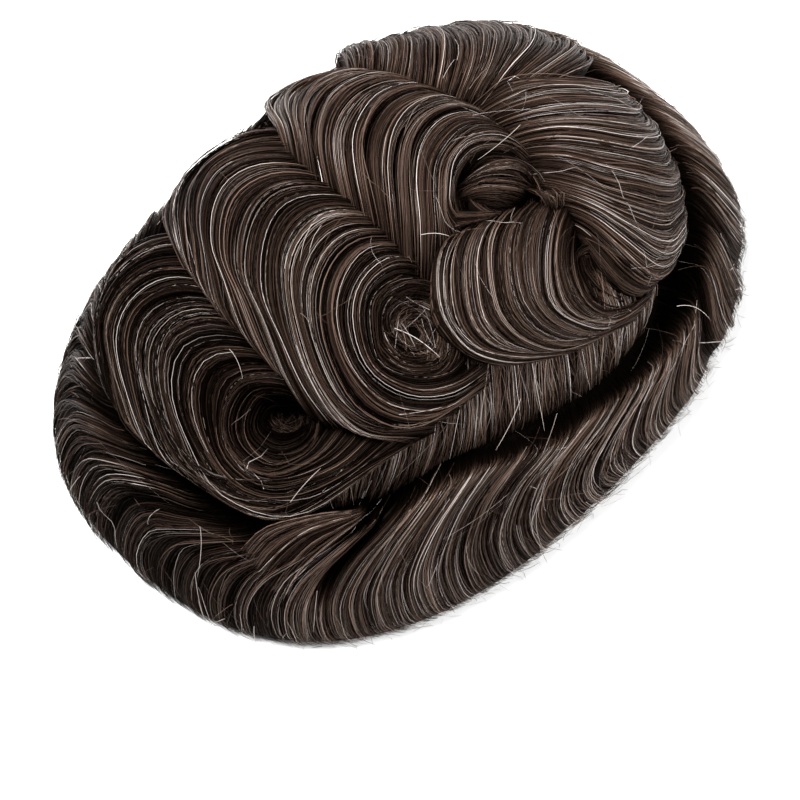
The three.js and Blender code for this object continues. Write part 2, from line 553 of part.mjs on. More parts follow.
const block = grooveBlock();
const walls = Object.values(PARTINGS).map(partingWall).reduce((all, wall) => all.add(wall));

function cutLock(lock) {
  const strips = solidOf(lockGeometry(lock));
  const whole = lock.core ? strips.add(solidOf(coreGeometry(lock.core))) : strips;
  const pieces = whole.intersect(block).subtract(walls).decompose();
  return geometryFrom(pieces.reduce((most, piece) => (piece.volume() > most.volume() ? piece : most)));
}

// Materials and assembly

const WAVES = {
  front_curl: { lock: FRONT_CURL, tone: 0x4a3d35 },
  middle_curl: { lock: MIDDLE_CURL, tone: 0x544740 },
  upper_curl: { lock: UPPER_CURL, tone: 0x51443b },
  crown_curl: { lock: CROWN_CURL, tone: 0x584b41 },
  crown_sweep: { lock: CROWN_SWEEP, tone: 0x5a4d43 },
  far_wave: { lock: FAR_WAVE, tone: 0x53483f },
  under_layer: { lock: UNDER_LAYER, tone: 0x3a302a },
};
const RIM_TONE = 0x4d4139;
const NET_TONE = 0x4e443c;

const hair = (tone) => new THREE.MeshStandardMaterial({ color: tone, roughness: 0.62, metalness: 0 });
const net = new THREE.MeshStandardMaterial({ color: NET_TONE, roughness: 0.8, metalness: 0 });

function namedMesh(name, geometry, material) {
  geometry.computeVertexNormals();
  const mesh = new THREE.Mesh(geometry, material);
  mesh.name = name;
  return mesh;
}

const hairpiece = new THREE.Group();
hairpiece.add(namedMesh("base_cap", baseGeometry(), net));

const waves = new THREE.Group();
for (const [name, { lock, tone }] of Object.entries(WAVES)) {
  waves.add(namedMesh(name, cutLock(lock), hair(tone)));
}
hairpiece.add(waves);

const rim = new THREE.Group();
for (const [name, span] of Object.entries(RIMS)) {
  rim.add(namedMesh(name, rimGeometry(span), hair(RIM_TONE)));
}
hairpiece.add(rim);

export default hairpiece;
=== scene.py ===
"""A toupee hairpiece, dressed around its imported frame: waved and curled locks of hair on a thin base.

Lengths are in metres. +Z is up, the front hairline faces -Y and the wearer's left is +X.
"""

import logging
import math
from dataclasses import dataclass, field
from enum import Enum
from typing import NamedTuple

import bpy
import numpy as np
from mathutils import Matrix, Vector

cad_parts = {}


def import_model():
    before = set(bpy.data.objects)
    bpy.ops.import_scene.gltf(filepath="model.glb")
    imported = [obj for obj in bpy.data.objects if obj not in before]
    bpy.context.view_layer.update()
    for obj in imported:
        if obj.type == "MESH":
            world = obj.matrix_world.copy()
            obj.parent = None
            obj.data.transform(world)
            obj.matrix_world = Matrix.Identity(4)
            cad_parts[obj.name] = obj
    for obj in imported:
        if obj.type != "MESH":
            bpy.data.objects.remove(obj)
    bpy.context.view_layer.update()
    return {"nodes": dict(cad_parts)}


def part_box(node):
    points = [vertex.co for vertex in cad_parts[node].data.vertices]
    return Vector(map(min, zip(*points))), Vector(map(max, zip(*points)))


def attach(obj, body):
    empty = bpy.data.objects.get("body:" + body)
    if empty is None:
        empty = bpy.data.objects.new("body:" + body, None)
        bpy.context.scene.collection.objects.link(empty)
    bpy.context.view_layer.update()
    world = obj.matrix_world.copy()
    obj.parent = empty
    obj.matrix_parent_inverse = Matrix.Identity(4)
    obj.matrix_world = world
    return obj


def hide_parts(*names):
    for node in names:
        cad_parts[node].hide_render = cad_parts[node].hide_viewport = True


Array = np.ndarray
Pair = tuple[float, float]

LOG = logging.getLogger("hairpiece")
MM = 0.001

# The hair outside the base
HAIR_DEPTH_AT_END = 19 * MM
HAIR_DEPTH_AT_SIDE = 18 * MM
HAIR_DEPTH_ON_TOP = 25.5 * MM
EDGE_TUCK = 3 * MM
EDGE_TUCK_HEIGHT = 9 * MM
ROOT_CLEARANCE = 0.85 * MM
SOLE_WIDTH = 9 * MM

# The plan is a superellipse, and the dome's edge stands this steep
PLAN_POWER = 2.41
EDGE_STEEPNESS = math.radians(77)

# Places on the plan are shares: across runs from -1 at the far side to 1 at the near side, along runs
# from -1 at the front to 1 at the back. A depth of 0 is on the base and 1 on the hair's crests.

# The closed groove round the waves: its reach from the middle at sixteen even turns, of which the first
# is at the near side
GROOVE = (0.87, 0.905, 0.865, 0.81, 0.82, 0.83, 0.86, 0.865, 0.865, 0.865, 0.86, 0.84, 0.832, 0.84,
          0.82, 0.8)

# How far the roll's strands drift round the edge, in turns, at the same sixteen turns
DRIFT = (-0.04, -0.035, -0.03, -0.025, -0.03, -0.04, -0.045, -0.045, -0.045, -0.045, -0.05, -0.062,
         -0.066, -0.06, -0.048, -0.045)


class Guide(NamedTuple):
    """One strand that shapes a lock: its lift and its places, from the root to the tip."""

    lift: float
    root: Pair
    rise: Pair
    shoulder: Pair
    crest: Pair
    fall: Pair
    sweep: Pair
    tip: Pair
    end: Pair


class TuftGuide(NamedTuple):
    """One strand that shapes a tuft: its lift and its places, from the root to the tip."""

    lift: float
    root: Pair
    rise: Pair
    crest: Pair
    fall: Pair
    tip: Pair


class ShortGuide(NamedTuple):
    """One short strand of the hair under the curls: its lift and its places."""

    lift: float
    root: Pair
    fall: Pair
    tip: Pair


class Stray(NamedTuple):
    """A stiff hair that lies across the others: the lock it is on, its ends and its sideways bow."""

    node: str
    start: Pair
    end: Pair
    bow: float


class RollRow(NamedTuple):
    """One row of the rolled edge: its share of the way across, its depth and its share of the drift."""

    reach: float
    depth: float
    drift: float


FRONT_CURL_GUIDES = (
    Guide(1.02, (-0.69, -0.33), (-0.79, -0.37), (-0.81, -0.46), (-0.76, -0.56), (-0.67, -0.65),
          (-0.55, -0.73), (-0.42, -0.8), (-0.42, -0.8)),
    Guide(1, (-0.46, -0.42), (-0.62, -0.46), (-0.67, -0.53), (-0.63, -0.62), (-0.52, -0.7),
          (-0.36, -0.79), (-0.22, -0.84), (-0.12, -0.85)),
    Guide(1, (-0.29, -0.46), (-0.48, -0.49), (-0.56, -0.56), (-0.53, -0.64), (-0.42, -0.72),
          (-0.24, -0.8), (-0.1, -0.84), (0.04, -0.85)),
    Guide(1, (-0.15, -0.48), (-0.36, -0.52), (-0.45, -0.59), (-0.41, -0.67), (-0.27, -0.75),
          (-0.08, -0.82), (0.12, -0.83), (0.3, -0.8)),
    Guide(1, (-0.03, -0.5), (-0.23, -0.54), (-0.32, -0.61), (-0.27, -0.69), (-0.13, -0.76),
          (0.09, -0.82), (0.38, -0.75), (0.59, -0.43)),
    Guide(0.98, (0.07, -0.51), (-0.1, -0.56), (-0.19, -0.62), (-0.15, -0.7), (-0.02, -0.76),
          (0.2, -0.79), (0.44, -0.69), (0.57, -0.42)),
    Guide(0.98, (0.17, -0.52), (0.02, -0.56), (-0.07, -0.63), (-0.02, -0.7), (0.11, -0.76),
          (0.3, -0.74), (0.46, -0.6), (0.51, -0.44)),
    Guide(0.95, (0.26, -0.53), (0.11, -0.56), (0.01, -0.62), (0.03, -0.7), (0.13, -0.74), (0.27, -0.72),
          (0.36, -0.63), (0.37, -0.55)),
    Guide(0.72, (0.25, -0.58), (0.15, -0.58), (0.07, -0.62), (0.08, -0.68), (0.14, -0.71), (0.25, -0.7),
          (0.32, -0.64), (0.32, -0.58)),
    Guide(0.42, (0.21, -0.61), (0.16, -0.61), (0.12, -0.63), (0.12, -0.66), (0.15, -0.67),
          (0.21, -0.66), (0.25, -0.63), (0.25, -0.61)),
)
FRONT_CURL_DEPTHS = (0.58, 0.86, 0.98, 1, 0.97, 0.94, 0.88, 0.7)

MIDDLE_CURL_GUIDES = (
    Guide(1.04, (-0.74, 0.1), (-0.86, 0.05), (-0.89, -0.05), (-0.87, -0.16), (-0.8, -0.26),
          (-0.72, -0.33), (-0.6, -0.4), (-0.49, -0.46)),
    Guide(1, (-0.57, 0.03), (-0.7, -0.04), (-0.74, -0.12), (-0.69, -0.22), (-0.6, -0.31),
          (-0.49, -0.39), (-0.36, -0.48), (-0.25, -0.52)),
    Guide(1, (-0.45, -0.02), (-0.58, -0.09), (-0.62, -0.17), (-0.57, -0.27), (-0.48, -0.36),
          (-0.36, -0.43), (-0.21, -0.51), (-0.08, -0.54)),
    Guide(1, (-0.32, -0.05), (-0.44, -0.12), (-0.48, -0.21), (-0.44, -0.3), (-0.33, -0.4),
          (-0.19, -0.46), (-0.01, -0.53), (0.13, -0.56)),
    Guide(1, (-0.19, -0.06), (-0.29, -0.14), (-0.32, -0.22), (-0.27, -0.32), (-0.16, -0.42), (0, -0.48),
          (0.17, -0.54), (0.31, -0.57)),
    Guide(1, (-0.05, -0.07), (-0.14, -0.15), (-0.16, -0.24), (-0.11, -0.34), (0.02, -0.43),
          (0.21, -0.51), (0.41, -0.53), (0.57, -0.45)),
    Guide(1, (0.05, -0.08), (-0.02, -0.17), (-0.02, -0.27), (0.05, -0.37), (0.19, -0.45), (0.38, -0.49),
          (0.55, -0.42), (0.64, -0.22)),
    Guide(1, (0.15, -0.09), (0.08, -0.17), (0.09, -0.27), (0.16, -0.36), (0.3, -0.42), (0.46, -0.41),
          (0.59, -0.31), (0.63, -0.17)),
    Guide(0.96, (0.24, -0.09), (0.16, -0.16), (0.15, -0.26), (0.22, -0.34), (0.35, -0.39),
          (0.49, -0.35), (0.57, -0.26), (0.6, -0.15)),
    Guide(0.72, (0.33, -0.14), (0.23, -0.17), (0.2, -0.25), (0.26, -0.31), (0.35, -0.35), (0.45, -0.31),
          (0.51, -0.24), (0.5, -0.17)),
    Guide(0.45, (0.34, -0.21), (0.29, -0.21), (0.27, -0.25), (0.3, -0.28), (0.35, -0.28), (0.39, -0.27),
          (0.41, -0.24), (0.41, -0.2)),
)
MIDDLE_CURL_DEPTHS = (0.58, 0.86, 0.98, 1, 0.97, 0.94, 0.88, 0.7)

UPPER_CURL_GUIDES = (
    Guide(1.03, (-0.71, 0.37), (-0.81, 0.31), (-0.86, 0.23), (-0.85, 0.17), (-0.79, 0.11),
          (-0.71, 0.07), (-0.6, 0), (-0.56, -0.03)),
    Guide(1, (-0.55, 0.38), (-0.65, 0.31), (-0.68, 0.22), (-0.65, 0.14), (-0.58, 0.07), (-0.51, 0.02),
          (-0.42, -0.05), (-0.38, -0.08)),
    Guide(1, (-0.4, 0.39), (-0.51, 0.31), (-0.54, 0.22), (-0.53, 0.14), (-0.48, 0.06), (-0.42, 0),
          (-0.3, -0.08), (-0.25, -0.11)),
    Guide(1, (-0.26, 0.39), (-0.36, 0.32), (-0.4, 0.22), (-0.38, 0.13), (-0.33, 0.05), (-0.24, -0.02),
          (-0.1, -0.1), (-0.04, -0.13)),
    Guide(1, (-0.13, 0.4), (-0.23, 0.33), (-0.26, 0.23), (-0.23, 0.13), (-0.15, 0.04), (-0.05, -0.03),
          (0.08, -0.11), (0.13, -0.14)),
    Guide(1, (-0.02, 0.41), (-0.1, 0.34), (-0.13, 0.24), (-0.1, 0.14), (-0.02, 0.05), (0.09, -0.03),
          (0.21, -0.12), (0.26, -0.16)),
    Guide(0.98, (0.09, 0.41), (0.01, 0.34), (-0.02, 0.26), (0.01, 0.14), (0.09, 0.06), (0.18, 0),
          (0.28, -0.07), (0.32, -0.1)),
    Guide(0.92, (0.2, 0.39), (0.1, 0.35), (0.03, 0.26), (0.04, 0.17), (0.1, 0.1), (0.16, 0.06),
          (0.24, 0.08), (0.29, 0.15)),
    Guide(0.7, (0.22, 0.36), (0.12, 0.34), (0.06, 0.27), (0.07, 0.19), (0.11, 0.13), (0.17, 0.1),
          (0.24, 0.12), (0.29, 0.18)),
    Guide(0.4, (0.23, 0.33), (0.14, 0.32), (0.1, 0.27), (0.1, 0.22), (0.13, 0.17), (0.18, 0.15),
          (0.23, 0.17), (0.26, 0.21)),
)
UPPER_CURL_DEPTHS = (0.56, 0.86, 0.98, 1, 0.96, 0.84, 0.66, 0.5)

CROWN_CURL_GUIDES = (
    Guide(0.9, (0.22, 0.04), (0.22, -0.02), (0.26, -0.09), (0.36, -0.17), (0.44, -0.19), (0.54, -0.18),
          (0.64, -0.11), (0.71, 0)),
    Guide(0.96, (0.25, 0.14), (0.26, 0.05), (0.32, -0.04), (0.41, -0.11), (0.49, -0.14), (0.58, -0.12),
          (0.67, -0.03), (0.75, 0.1)),
    Guide(0.99, (0.29, 0.22), (0.31, 0.12), (0.36, 0.04), (0.45, -0.03), (0.53, -0.06), (0.62, -0.04),
          (0.71, 0.04), (0.77, 0.21)),
    Guide(1, (0.33, 0.3), (0.35, 0.2), (0.41, 0.11), (0.5, 0.04), (0.57, 0.02), (0.65, 0.04),
          (0.73, 0.12), (0.78, 0.29)),
    Guide(0.96, (0.37, 0.35), (0.41, 0.26), (0.47, 0.18), (0.55, 0.11), (0.61, 0.09), (0.68, 0.12),
          (0.75, 0.2), (0.77, 0.36)),
    Guide(0.86, (0.44, 0.35), (0.48, 0.27), (0.54, 0.2), (0.59, 0.17), (0.65, 0.16), (0.71, 0.19),
          (0.75, 0.28), (0.75, 0.42)),
    Guide(0.62, (0.53, 0.33), (0.56, 0.29), (0.6, 0.26), (0.65, 0.25), (0.7, 0.25), (0.74, 0.3),
          (0.75, 0.38), (0.72, 0.48)),
)
CROWN_CURL_DEPTHS = (0.62, 0.82, 0.93, 1, 1, 0.96, 0.9, 0.72)

CROWN_SWEEP_GUIDES = (
    Guide(0.7, (0.44, 0.32), (0.52, 0.32), (0.61, 0.31), (0.68, 0.31), (0.73, 0.34), (0.75, 0.39),
          (0.73, 0.46), (0.7, 0.52)),
    Guide(0.97, (0.37, 0.34), (0.47, 0.36), (0.56, 0.37), (0.64, 0.39), (0.69, 0.42), (0.7, 0.47),
          (0.68, 0.54), (0.64, 0.59)),
    Guide(1, (0.27, 0.34), (0.4, 0.38), (0.51, 0.42), (0.59, 0.47), (0.62, 0.52), (0.61, 0.57),
          (0.59, 0.63), (0.54, 0.67)),
    Guide(1, (0.16, 0.37), (0.27, 0.42), (0.38, 0.47), (0.45, 0.54), (0.49, 0.59), (0.505, 0.64),
          (0.48, 0.69), (0.43, 0.73)),
    Guide(1, (0.07, 0.38), (0.15, 0.45), (0.24, 0.52), (0.32, 0.59), (0.36, 0.65), (0.365, 0.7),
          (0.33, 0.745), (0.27, 0.775)),
    Guide(0.98, (-0.03, 0.38), (0.04, 0.46), (0.11, 0.54), (0.17, 0.62), (0.21, 0.69), (0.215, 0.74),
          (0.18, 0.785), (0.12, 0.81)),
    Guide(0.96, (-0.1, 0.385), (-0.05, 0.46), (0, 0.54), (0.06, 0.62), (0.105, 0.69), (0.115, 0.75),
          (0.085, 0.8), (0.03, 0.83)),
    Guide(0.9, (-0.16, 0.39), (-0.14, 0.45), (-0.13, 0.5), (-0.09, 0.57), (-0.04, 0.65), (0, 0.74),
          (0.02, 0.8), (-0.01, 0.85)),
)
CROWN_SWEEP_DEPTHS = (0.56, 0.82, 0.95, 1, 1, 0.97, 0.9, 0.76)

FAR_WAVE_GUIDES = (
    Guide(1, (-0.68, 0.33), (-0.72, 0.36), (-0.76, 0.385), (-0.8, 0.4), (-0.83, 0.41),
          (-0.855, 0.415), (-0.87, 0.42), (-0.88, 0.42)),
    Guide(0.97, (-0.47, 0.34), (-0.5, 0.39), (-0.54, 0.43), (-0.6, 0.46), (-0.66, 0.48), (-0.72, 0.5),
          (-0.78, 0.51), (-0.83, 0.51)),
    Guide(1, (-0.33, 0.34), (-0.36, 0.38), (-0.41, 0.42), (-0.46, 0.46), (-0.54, 0.5), (-0.63, 0.53),
          (-0.72, 0.56), (-0.79, 0.57)),
    Guide(1, (-0.24, 0.37), (-0.28, 0.43), (-0.34, 0.49), (-0.41, 0.53), (-0.5, 0.57), (-0.59, 0.6),
          (-0.68, 0.62), (-0.75, 0.63)),
    Guide(1, (-0.18, 0.41), (-0.21, 0.49), (-0.26, 0.55), (-0.33, 0.61), (-0.42, 0.65), (-0.52, 0.68),
          (-0.62, 0.69), (-0.7, 0.69)),
    Guide(1, (-0.14, 0.45), (-0.17, 0.54), (-0.21, 0.63), (-0.28, 0.7), (-0.36, 0.74), (-0.45, 0.76),
          (-0.54, 0.76), (-0.62, 0.76)),
    Guide(0.99, (-0.13, 0.5), (-0.12, 0.61), (-0.14, 0.71), (-0.19, 0.77), (-0.26, 0.81), (-0.35, 0.83),
          (-0.43, 0.83), (-0.5, 0.82)),
    Guide(0.97, (-0.1, 0.55), (-0.08, 0.65), (-0.09, 0.73), (-0.13, 0.79), (-0.19, 0.83), (-0.25, 0.85),
          (-0.31, 0.86), (-0.37, 0.85)),
    Guide(0.93, (-0.08, 0.58), (-0.05, 0.68), (-0.05, 0.76), (-0.08, 0.81), (-0.12, 0.84),
          (-0.16, 0.86), (-0.2, 0.87), (-0.24, 0.87)),
)
FAR_WAVE_DEPTHS = (0.6, 0.9, 1.04, 1.08, 1.04, 0.98, 0.88, 0.75)

INNER_ROLL_GUIDES = (
    TuftGuide(0.62, (0.22, 0.35), (0.16, 0.33), (0.12, 0.29), (0.09, 0.22), (0.07, 0.14)),
    TuftGuide(0.85, (0.25, 0.34), (0.19, 0.32), (0.14, 0.27), (0.11, 0.2), (0.08, 0.13)),
    TuftGuide(0.95, (0.27, 0.33), (0.22, 0.29), (0.17, 0.24), (0.13, 0.18), (0.08, 0.12)),
    TuftGuide(0.85, (0.29, 0.31), (0.25, 0.26), (0.2, 0.21), (0.15, 0.16), (0.1, 0.11)),
    TuftGuide(0.6, (0.29, 0.28), (0.27, 0.23), (0.23, 0.19), (0.17, 0.15), (0.11, 0.11)),
)
INNER_ROLL_DEPTHS = (0.55, 0.85, 0.95, 0.9, 0.5)

CROWN_HOLLOW_GUIDES = (
    TuftGuide(0.8, (0.503, 0.3), (0.542, 0.261), (0.596, 0.237), (0.661, 0.235), (0.73, 0.269)),
    TuftGuide(0.85, (0.523, 0.307), (0.564, 0.271), (0.616, 0.256), (0.674, 0.26), (0.736, 0.3)),
    TuftGuide(0.8, (0.549, 0.318), (0.588, 0.291), (0.637, 0.282), (0.687, 0.292), (0.74, 0.336)),
    TuftGuide(0.7, (0.577, 0.327), (0.615, 0.311), (0.658, 0.312), (0.701, 0.328), (0.74, 0.378)),
)
CROWN_HOLLOW_DEPTHS = (0.6, 0.66, 0.7, 0.72, 0.68)

UNDER_ROLL_GUIDES = (
    TuftGuide(1, (0.108, 0.0494), (0.148, 0.0676), (0.202, 0.0944), (0.249, 0.127), (0.281, 0.175)),
    TuftGuide(1, (0.122, 0.0384), (0.162, 0.0568), (0.213, 0.0859), (0.257, 0.12), (0.285, 0.164)),
    TuftGuide(1, (0.14, 0.0273), (0.178, 0.044), (0.216, 0.0674), (0.251, 0.102), (0.277, 0.143)),
    TuftGuide(1, (0.161, 0.0143), (0.191, 0.0254), (0.22, 0.049), (0.243, 0.0772), (0.262, 0.116)),
)
UNDER_ROLL_DEPTHS = (0.55, 0.68, 0.76, 0.8, 0.7)

PARTING_GUIDES = (
    TuftGuide(1, (0.259, 0.279), (0.281, 0.277), (0.308, 0.275), (0.336, 0.275), (0.364, 0.276)),
    TuftGuide(1, (0.279, 0.302), (0.301, 0.299), (0.326, 0.295), (0.352, 0.294), (0.38, 0.295)),
    TuftGuide(1, (0.303, 0.322), (0.322, 0.318), (0.342, 0.314), (0.366, 0.31), (0.389, 0.306)),
    TuftGuide(1, (0.326, 0.338), (0.341, 0.334), (0.358, 0.328), (0.38, 0.322), (0.399, 0.318)),
)
PARTING_DEPTHS = (0.6, 0.76, 0.84, 0.84, 0.74)

ROLL_TIP_GUIDES = (
    TuftGuide(0.97, (0.575, -0.625), (0.495, -0.68), (0.42, -0.735), (0.34, -0.8), (0.305, -0.86)),
    TuftGuide(1, (0.58, -0.625), (0.515, -0.68), (0.445, -0.74), (0.385, -0.805), (0.36, -0.865)),
    TuftGuide(1, (0.59, -0.62), (0.54, -0.68), (0.48, -0.745), (0.445, -0.815), (0.425, -0.87)),
    TuftGuide(0.97, (0.595, -0.625), (0.57, -0.67), (0.535, -0.735), (0.505, -0.8), (0.505, -0.845)),
)
ROLL_TIP_DEPTHS = (0.86, 0.99, 1.05, 1.03, 0.97)

STRAYS = (
    Stray("upper_curl", (-0.241, 0.351), (-0.29, 0.438), 0),
    Stray("crown_sweep", (-0.138, 0.366), (-0.178, 0.468), 0),
    Stray("crown_sweep", (-0.0421, 0.3), (0.164, 0.524), 0.007),
    Stray("crown_sweep", (0.0926, 0.371), (0.107, 0.198), 0.01),
    Stray("upper_curl", (0.171, -0.0681), (0.24, -0.0179), 0.003),
    Stray("under_layer", (0.718, -0.139), (0.759, -0.266), 0.003),
    Stray("under_layer", (0.676, -0.0621), (0.812, -0.125), -0.003),
    Stray("rim_near_front", (0.847, -0.286), (0.786, -0.499), 0.007),
    Stray("rim_near_front", (0.976, -0.0312), (0.98, -0.105), 0.003),
    Stray("rim_near_front", (0.808, -0.188), (0.826, -0.305), 0),
    Stray("rim_near_front", (0.804, -0.0715), (0.847, -0.165), 0),
    Stray("rim_near_front", (0.859, -0.073), (0.871, -0.2), 0.003),
    Stray("front_curl", (0.378, -0.724), (0.403, -0.631), 0.003),
    Stray("rim_front", (0.144, -0.874), (0.206, -0.936), 0.01),
    Stray("rim_front", (0.192, -0.933), (0.295, -0.973), -0.003),
    Stray("rim_front", (0.575, -0.785), (0.61, -0.829), 0),
    Stray("rim_front", (0.241, -0.867), (0.352, -0.855), 0),
    Stray("rim_front", (-0.365, -0.849), (0.0118, -0.877), -0.007),
    Stray("rim_front", (0.0877, -0.962), (0.151, -0.97), 0.003),
    Stray("rim_near_back", (0.904, 0.363), (0.935, 0.409), -0.003),
    Stray("rim_near_back", (0.793, 0.633), (0.751, 0.737), -0.007),
    Stray("rim_near_back", (0.791, 0.4), (0.845, 0.493), 0.01),
    Stray("rim_near_back", (0.798, 0.285), (0.847, 0.175), 0.003),
    Stray("middle_curl", (0.0402, -0.412), (0.11, -0.429), 0.007),
    Stray("front_curl", (-0.091, -0.571), (0.0122, -0.604), 0.007),
)

UNDER_LAYER_GUIDES = (
    ShortGuide(0.5, (0.7, 0.52), (0.75, 0.51), (0.79, 0.5)),
    ShortGuide(0.8, (0.73, 0.42), (0.785, 0.4), (0.835, 0.385)),
    ShortGuide(1, (0.73, 0.29), (0.8, 0.265), (0.865, 0.25)),
    ShortGuide(1, (0.72, 0.14), (0.8, 0.11), (0.875, 0.085)),
    ShortGuide(1, (0.66, 0), (0.75, -0.05), (0.83, -0.08)),
    ShortGuide(1, (0.62, -0.14), (0.71, -0.195), (0.785, -0.24)),
    ShortGuide(1, (0.6, -0.26), (0.675, -0.325), (0.735, -0.39)),
    ShortGuide(1, (0.55, -0.37), (0.62, -0.44), (0.67, -0.52)),
    ShortGuide(0.9, (0.5, -0.46), (0.565, -0.53), (0.61, -0.61)),
    ShortGuide(0.6, (0.44, -0.58), (0.5, -0.64), (0.55, -0.69)),
    ShortGuide(0.4, (0.42, -0.66), (0.46, -0.7), (0.5, -0.74)),
)
UNDER_LAYER_DEPTHS = (0.62, 0.56, 0.36)

ROLL = (
    RollRow(-0.55, 0.1, -0.25),
    RollRow(-0.08, 0.12, -0.1),
    RollRow(0.1, 0.42, 0.05),
    RollRow(0.18, 0.78, 0.25),
    RollRow(0.31, 0.94, 0.6),
    RollRow(0.52, 1, 0.92),
    RollRow(0.76, 1, 1),
    RollRow(0.92, 1, 0.94),
    RollRow(1, 1, 0.82),
)

# The same rows where the roll stands steep over the deep groove, and how steep it is at the same turns
STEEP_ROLL = (
    RollRow(-0.55, 0.1, -0.25),
    RollRow(-0.2, 0.12, -0.1),
    RollRow(-0.07, 0.5, 0),
    RollRow(0, 0.88, 0.12),
    RollRow(0.1, 0.99, 0.35),
    RollRow(0.32, 1.02, 0.75),
    RollRow(0.62, 1.01, 1),
    RollRow(0.88, 1, 0.92),
    RollRow(1, 1, 0.7),
)
STEEPNESS = (1, 0.85, 0.15, 0, 0, 0, 0, 0, 0, 0, 0, 0, 0, 0, 0.45, 1)

# A field of strands is sampled at this many places across the lock and along its strands, from guides
# that are first read at this many places
FIELD_ACROSS = 241
FIELD_ALONG = 61
GUIDE_SAMPLES = 121

# The bed under the strands: its cells across and along, how far it lies under them and its tone
BED_CELLS = (60, 21)
BED_DROP = 1.5 * MM
BED_TONE = 0.2

# The floor of a curl: its bed's cells, how steeply it rises towards its rim, the points along a strand
# that winds round in it and along one that lies across it, and its greys as a share of the usual
CURL_FLOOR_CELLS = 20
FLOOR_CURVE = 3.0
FLOOR_RINGS = 18
CHORD_RINGS = 7
FLOOR_GREYS = 0.1

# The painted shade on buried strands: how much darker the deepest are. Those buried deeper than a share
# of the most are drawn with half the points
DEPTH_SHADE = 0.85
DEEP_SHARE = 0.3
# The most that a strand is turned round its own line
MOST_TILT = math.pi / 2
# The strands on each steep flank of a lock, and how far down they reach as a share of its depth
FLANK_STRANDS = 40
FLANK_REACH = 0.75

# The stiff hairs that lie across the others
STRAY_RINGS = 13
STRAY_DEPTH = 1.05
STRAY_RADIUS = 0.07 * MM
STRAY_TONES = (0.76, 0.92)
STRAY_TILT = 0.6

# Strands rise from this share of their root's depth and turn down to this share of their tip's, over
# runs that are shares of the first and last steps between a guide's places
ROOT_DEPTH = 0.2
ROOT_RUN = 0.25
TIP_DEPTH = 0.35
TIP_RUN = 0.35

# The fine strands drawn on a bed: their pitch and their run
FINE_STRAND_PITCH = 0.35 * MM
FINE_STRAND_RUN = 22 * MM

# The ridges that strands lie in
STRIP_WIDTH = 14 * MM
RELIEF_HEIGHT = 1.5 * MM
RIM_RELIEF_HEIGHT = 1.1 * MM
UNDER_RELIEF_HEIGHT = 0.6 * MM

# Strands' radii as shares of their mean, the share of a strand's length that is drawn in at its tip, and
# the radius there as a share
RADIUS_SPREAD = (0.6, 1.3)
TIP_SHARE = 0.25
TIP_RADIUS = 0.3

# How far loose hairs lie over the combed ones, and the least that flyaways are over the ground
LOOSE_CLEARANCE = 0.2 * MM
GROUND_CLEARANCE = 0.3 * MM

# Tones run from 0 to 1: browns about a mean, and lighter than all of them the greys
BROWN_TONE = 0.42
BROWN_SPREAD = 0.17
BROWNS = (0.05, 0.76)
GREY_TONE = 0.77
GREY_RANGE = 0.21
FLYAWAY_TONES = (0.45, 0.95)
# The greys' share of the strands, how fast it grows with a lock's tone, and a grey's radius as a share
GREY_SHARE = 0.22
GREY_TREND = 2.5
GREY_WIDTH = 0.58


class Notch(NamedTuple):
    """A dip in the roll: its turn, its width in turns, its share of the depth and its run along strands.

    The run is places along the strands, and the dip's strength at each.
    """

    turn: float
    width: float
    dip: float
    along: tuple[tuple[float, ...], tuple[float, ...]]


NOTCHES = (
    Notch(0.894, 0.006, 0.7, ((0.15, 0.25, 0.5, 0.8), (0.0, 1.0, 0.9, 0.0))),
    Notch(0.70, 0.006, 0.3, ((0.2, 0.3, 0.6, 0.8), (0.0, 1.0, 0.6, 0.0))),
    Notch(0.665, 0.006, 0.3, ((0.15, 0.3, 0.7, 0.9), (0.0, 1.0, 0.8, 0.0))),
    Notch(0.79, 0.005, 0.2, ((0.2, 0.35, 0.8, 1.0), (0.0, 1.0, 0.8, 0.0))),
    Notch(0.1, 0.008, 0.25, ((0.2, 0.3, 0.7, 1.0), (0.0, 1.0, 0.9, 0.3))),
    Notch(0.155, 0.008, 0.22, ((0.2, 0.3, 0.7, 1.0), (0.0, 1.0, 0.9, 0.3))),
    Notch(0.5, 0.09, 0.32, ((0.1, 0.25, 0.5, 0.8), (0.0, 1.0, 0.7, 0.0))),
)


def plan_reach(across: Array, along: Array) -> Array:
    """The reach of places on the plan from the middle.

    Args:
        across: Shares of the half width.
        along: Shares of the half length.

    Returns:
        The reach, 1 on the dome's edge and never more.
    """
    total = np.abs(across) ** PLAN_POWER + np.abs(along) ** PLAN_POWER
    return np.minimum(1.0, total ** (1 / PLAN_POWER))


def plan_spots(turn: Array, reach: Array) -> tuple[Array, Array]:
    """Places on the plan at a turn from the near side and a reach from the middle.

    Args:
        turn: Turns from the near side, towards the back.
        reach: Reach from the middle.

    Returns:
        The shares across and along.
    """
    angle = 2 * np.pi * turn
    across = np.sign(np.cos(angle)) * np.abs(np.cos(angle)) ** (2 / PLAN_POWER)
    along = np.sign(np.sin(angle)) * np.abs(np.sin(angle)) ** (2 / PLAN_POWER)
    return reach * across, reach * along


def plan_turn(across: Array, along: Array) -> Array:
    """The turn from the near side at which places on the plan lie."""
    east = np.sign(across) * np.abs(across) ** (PLAN_POWER / 2)
    north = np.sign(along) * np.abs(along) ** (PLAN_POWER / 2)
    return np.arctan2(north, east) / (2 * np.pi)


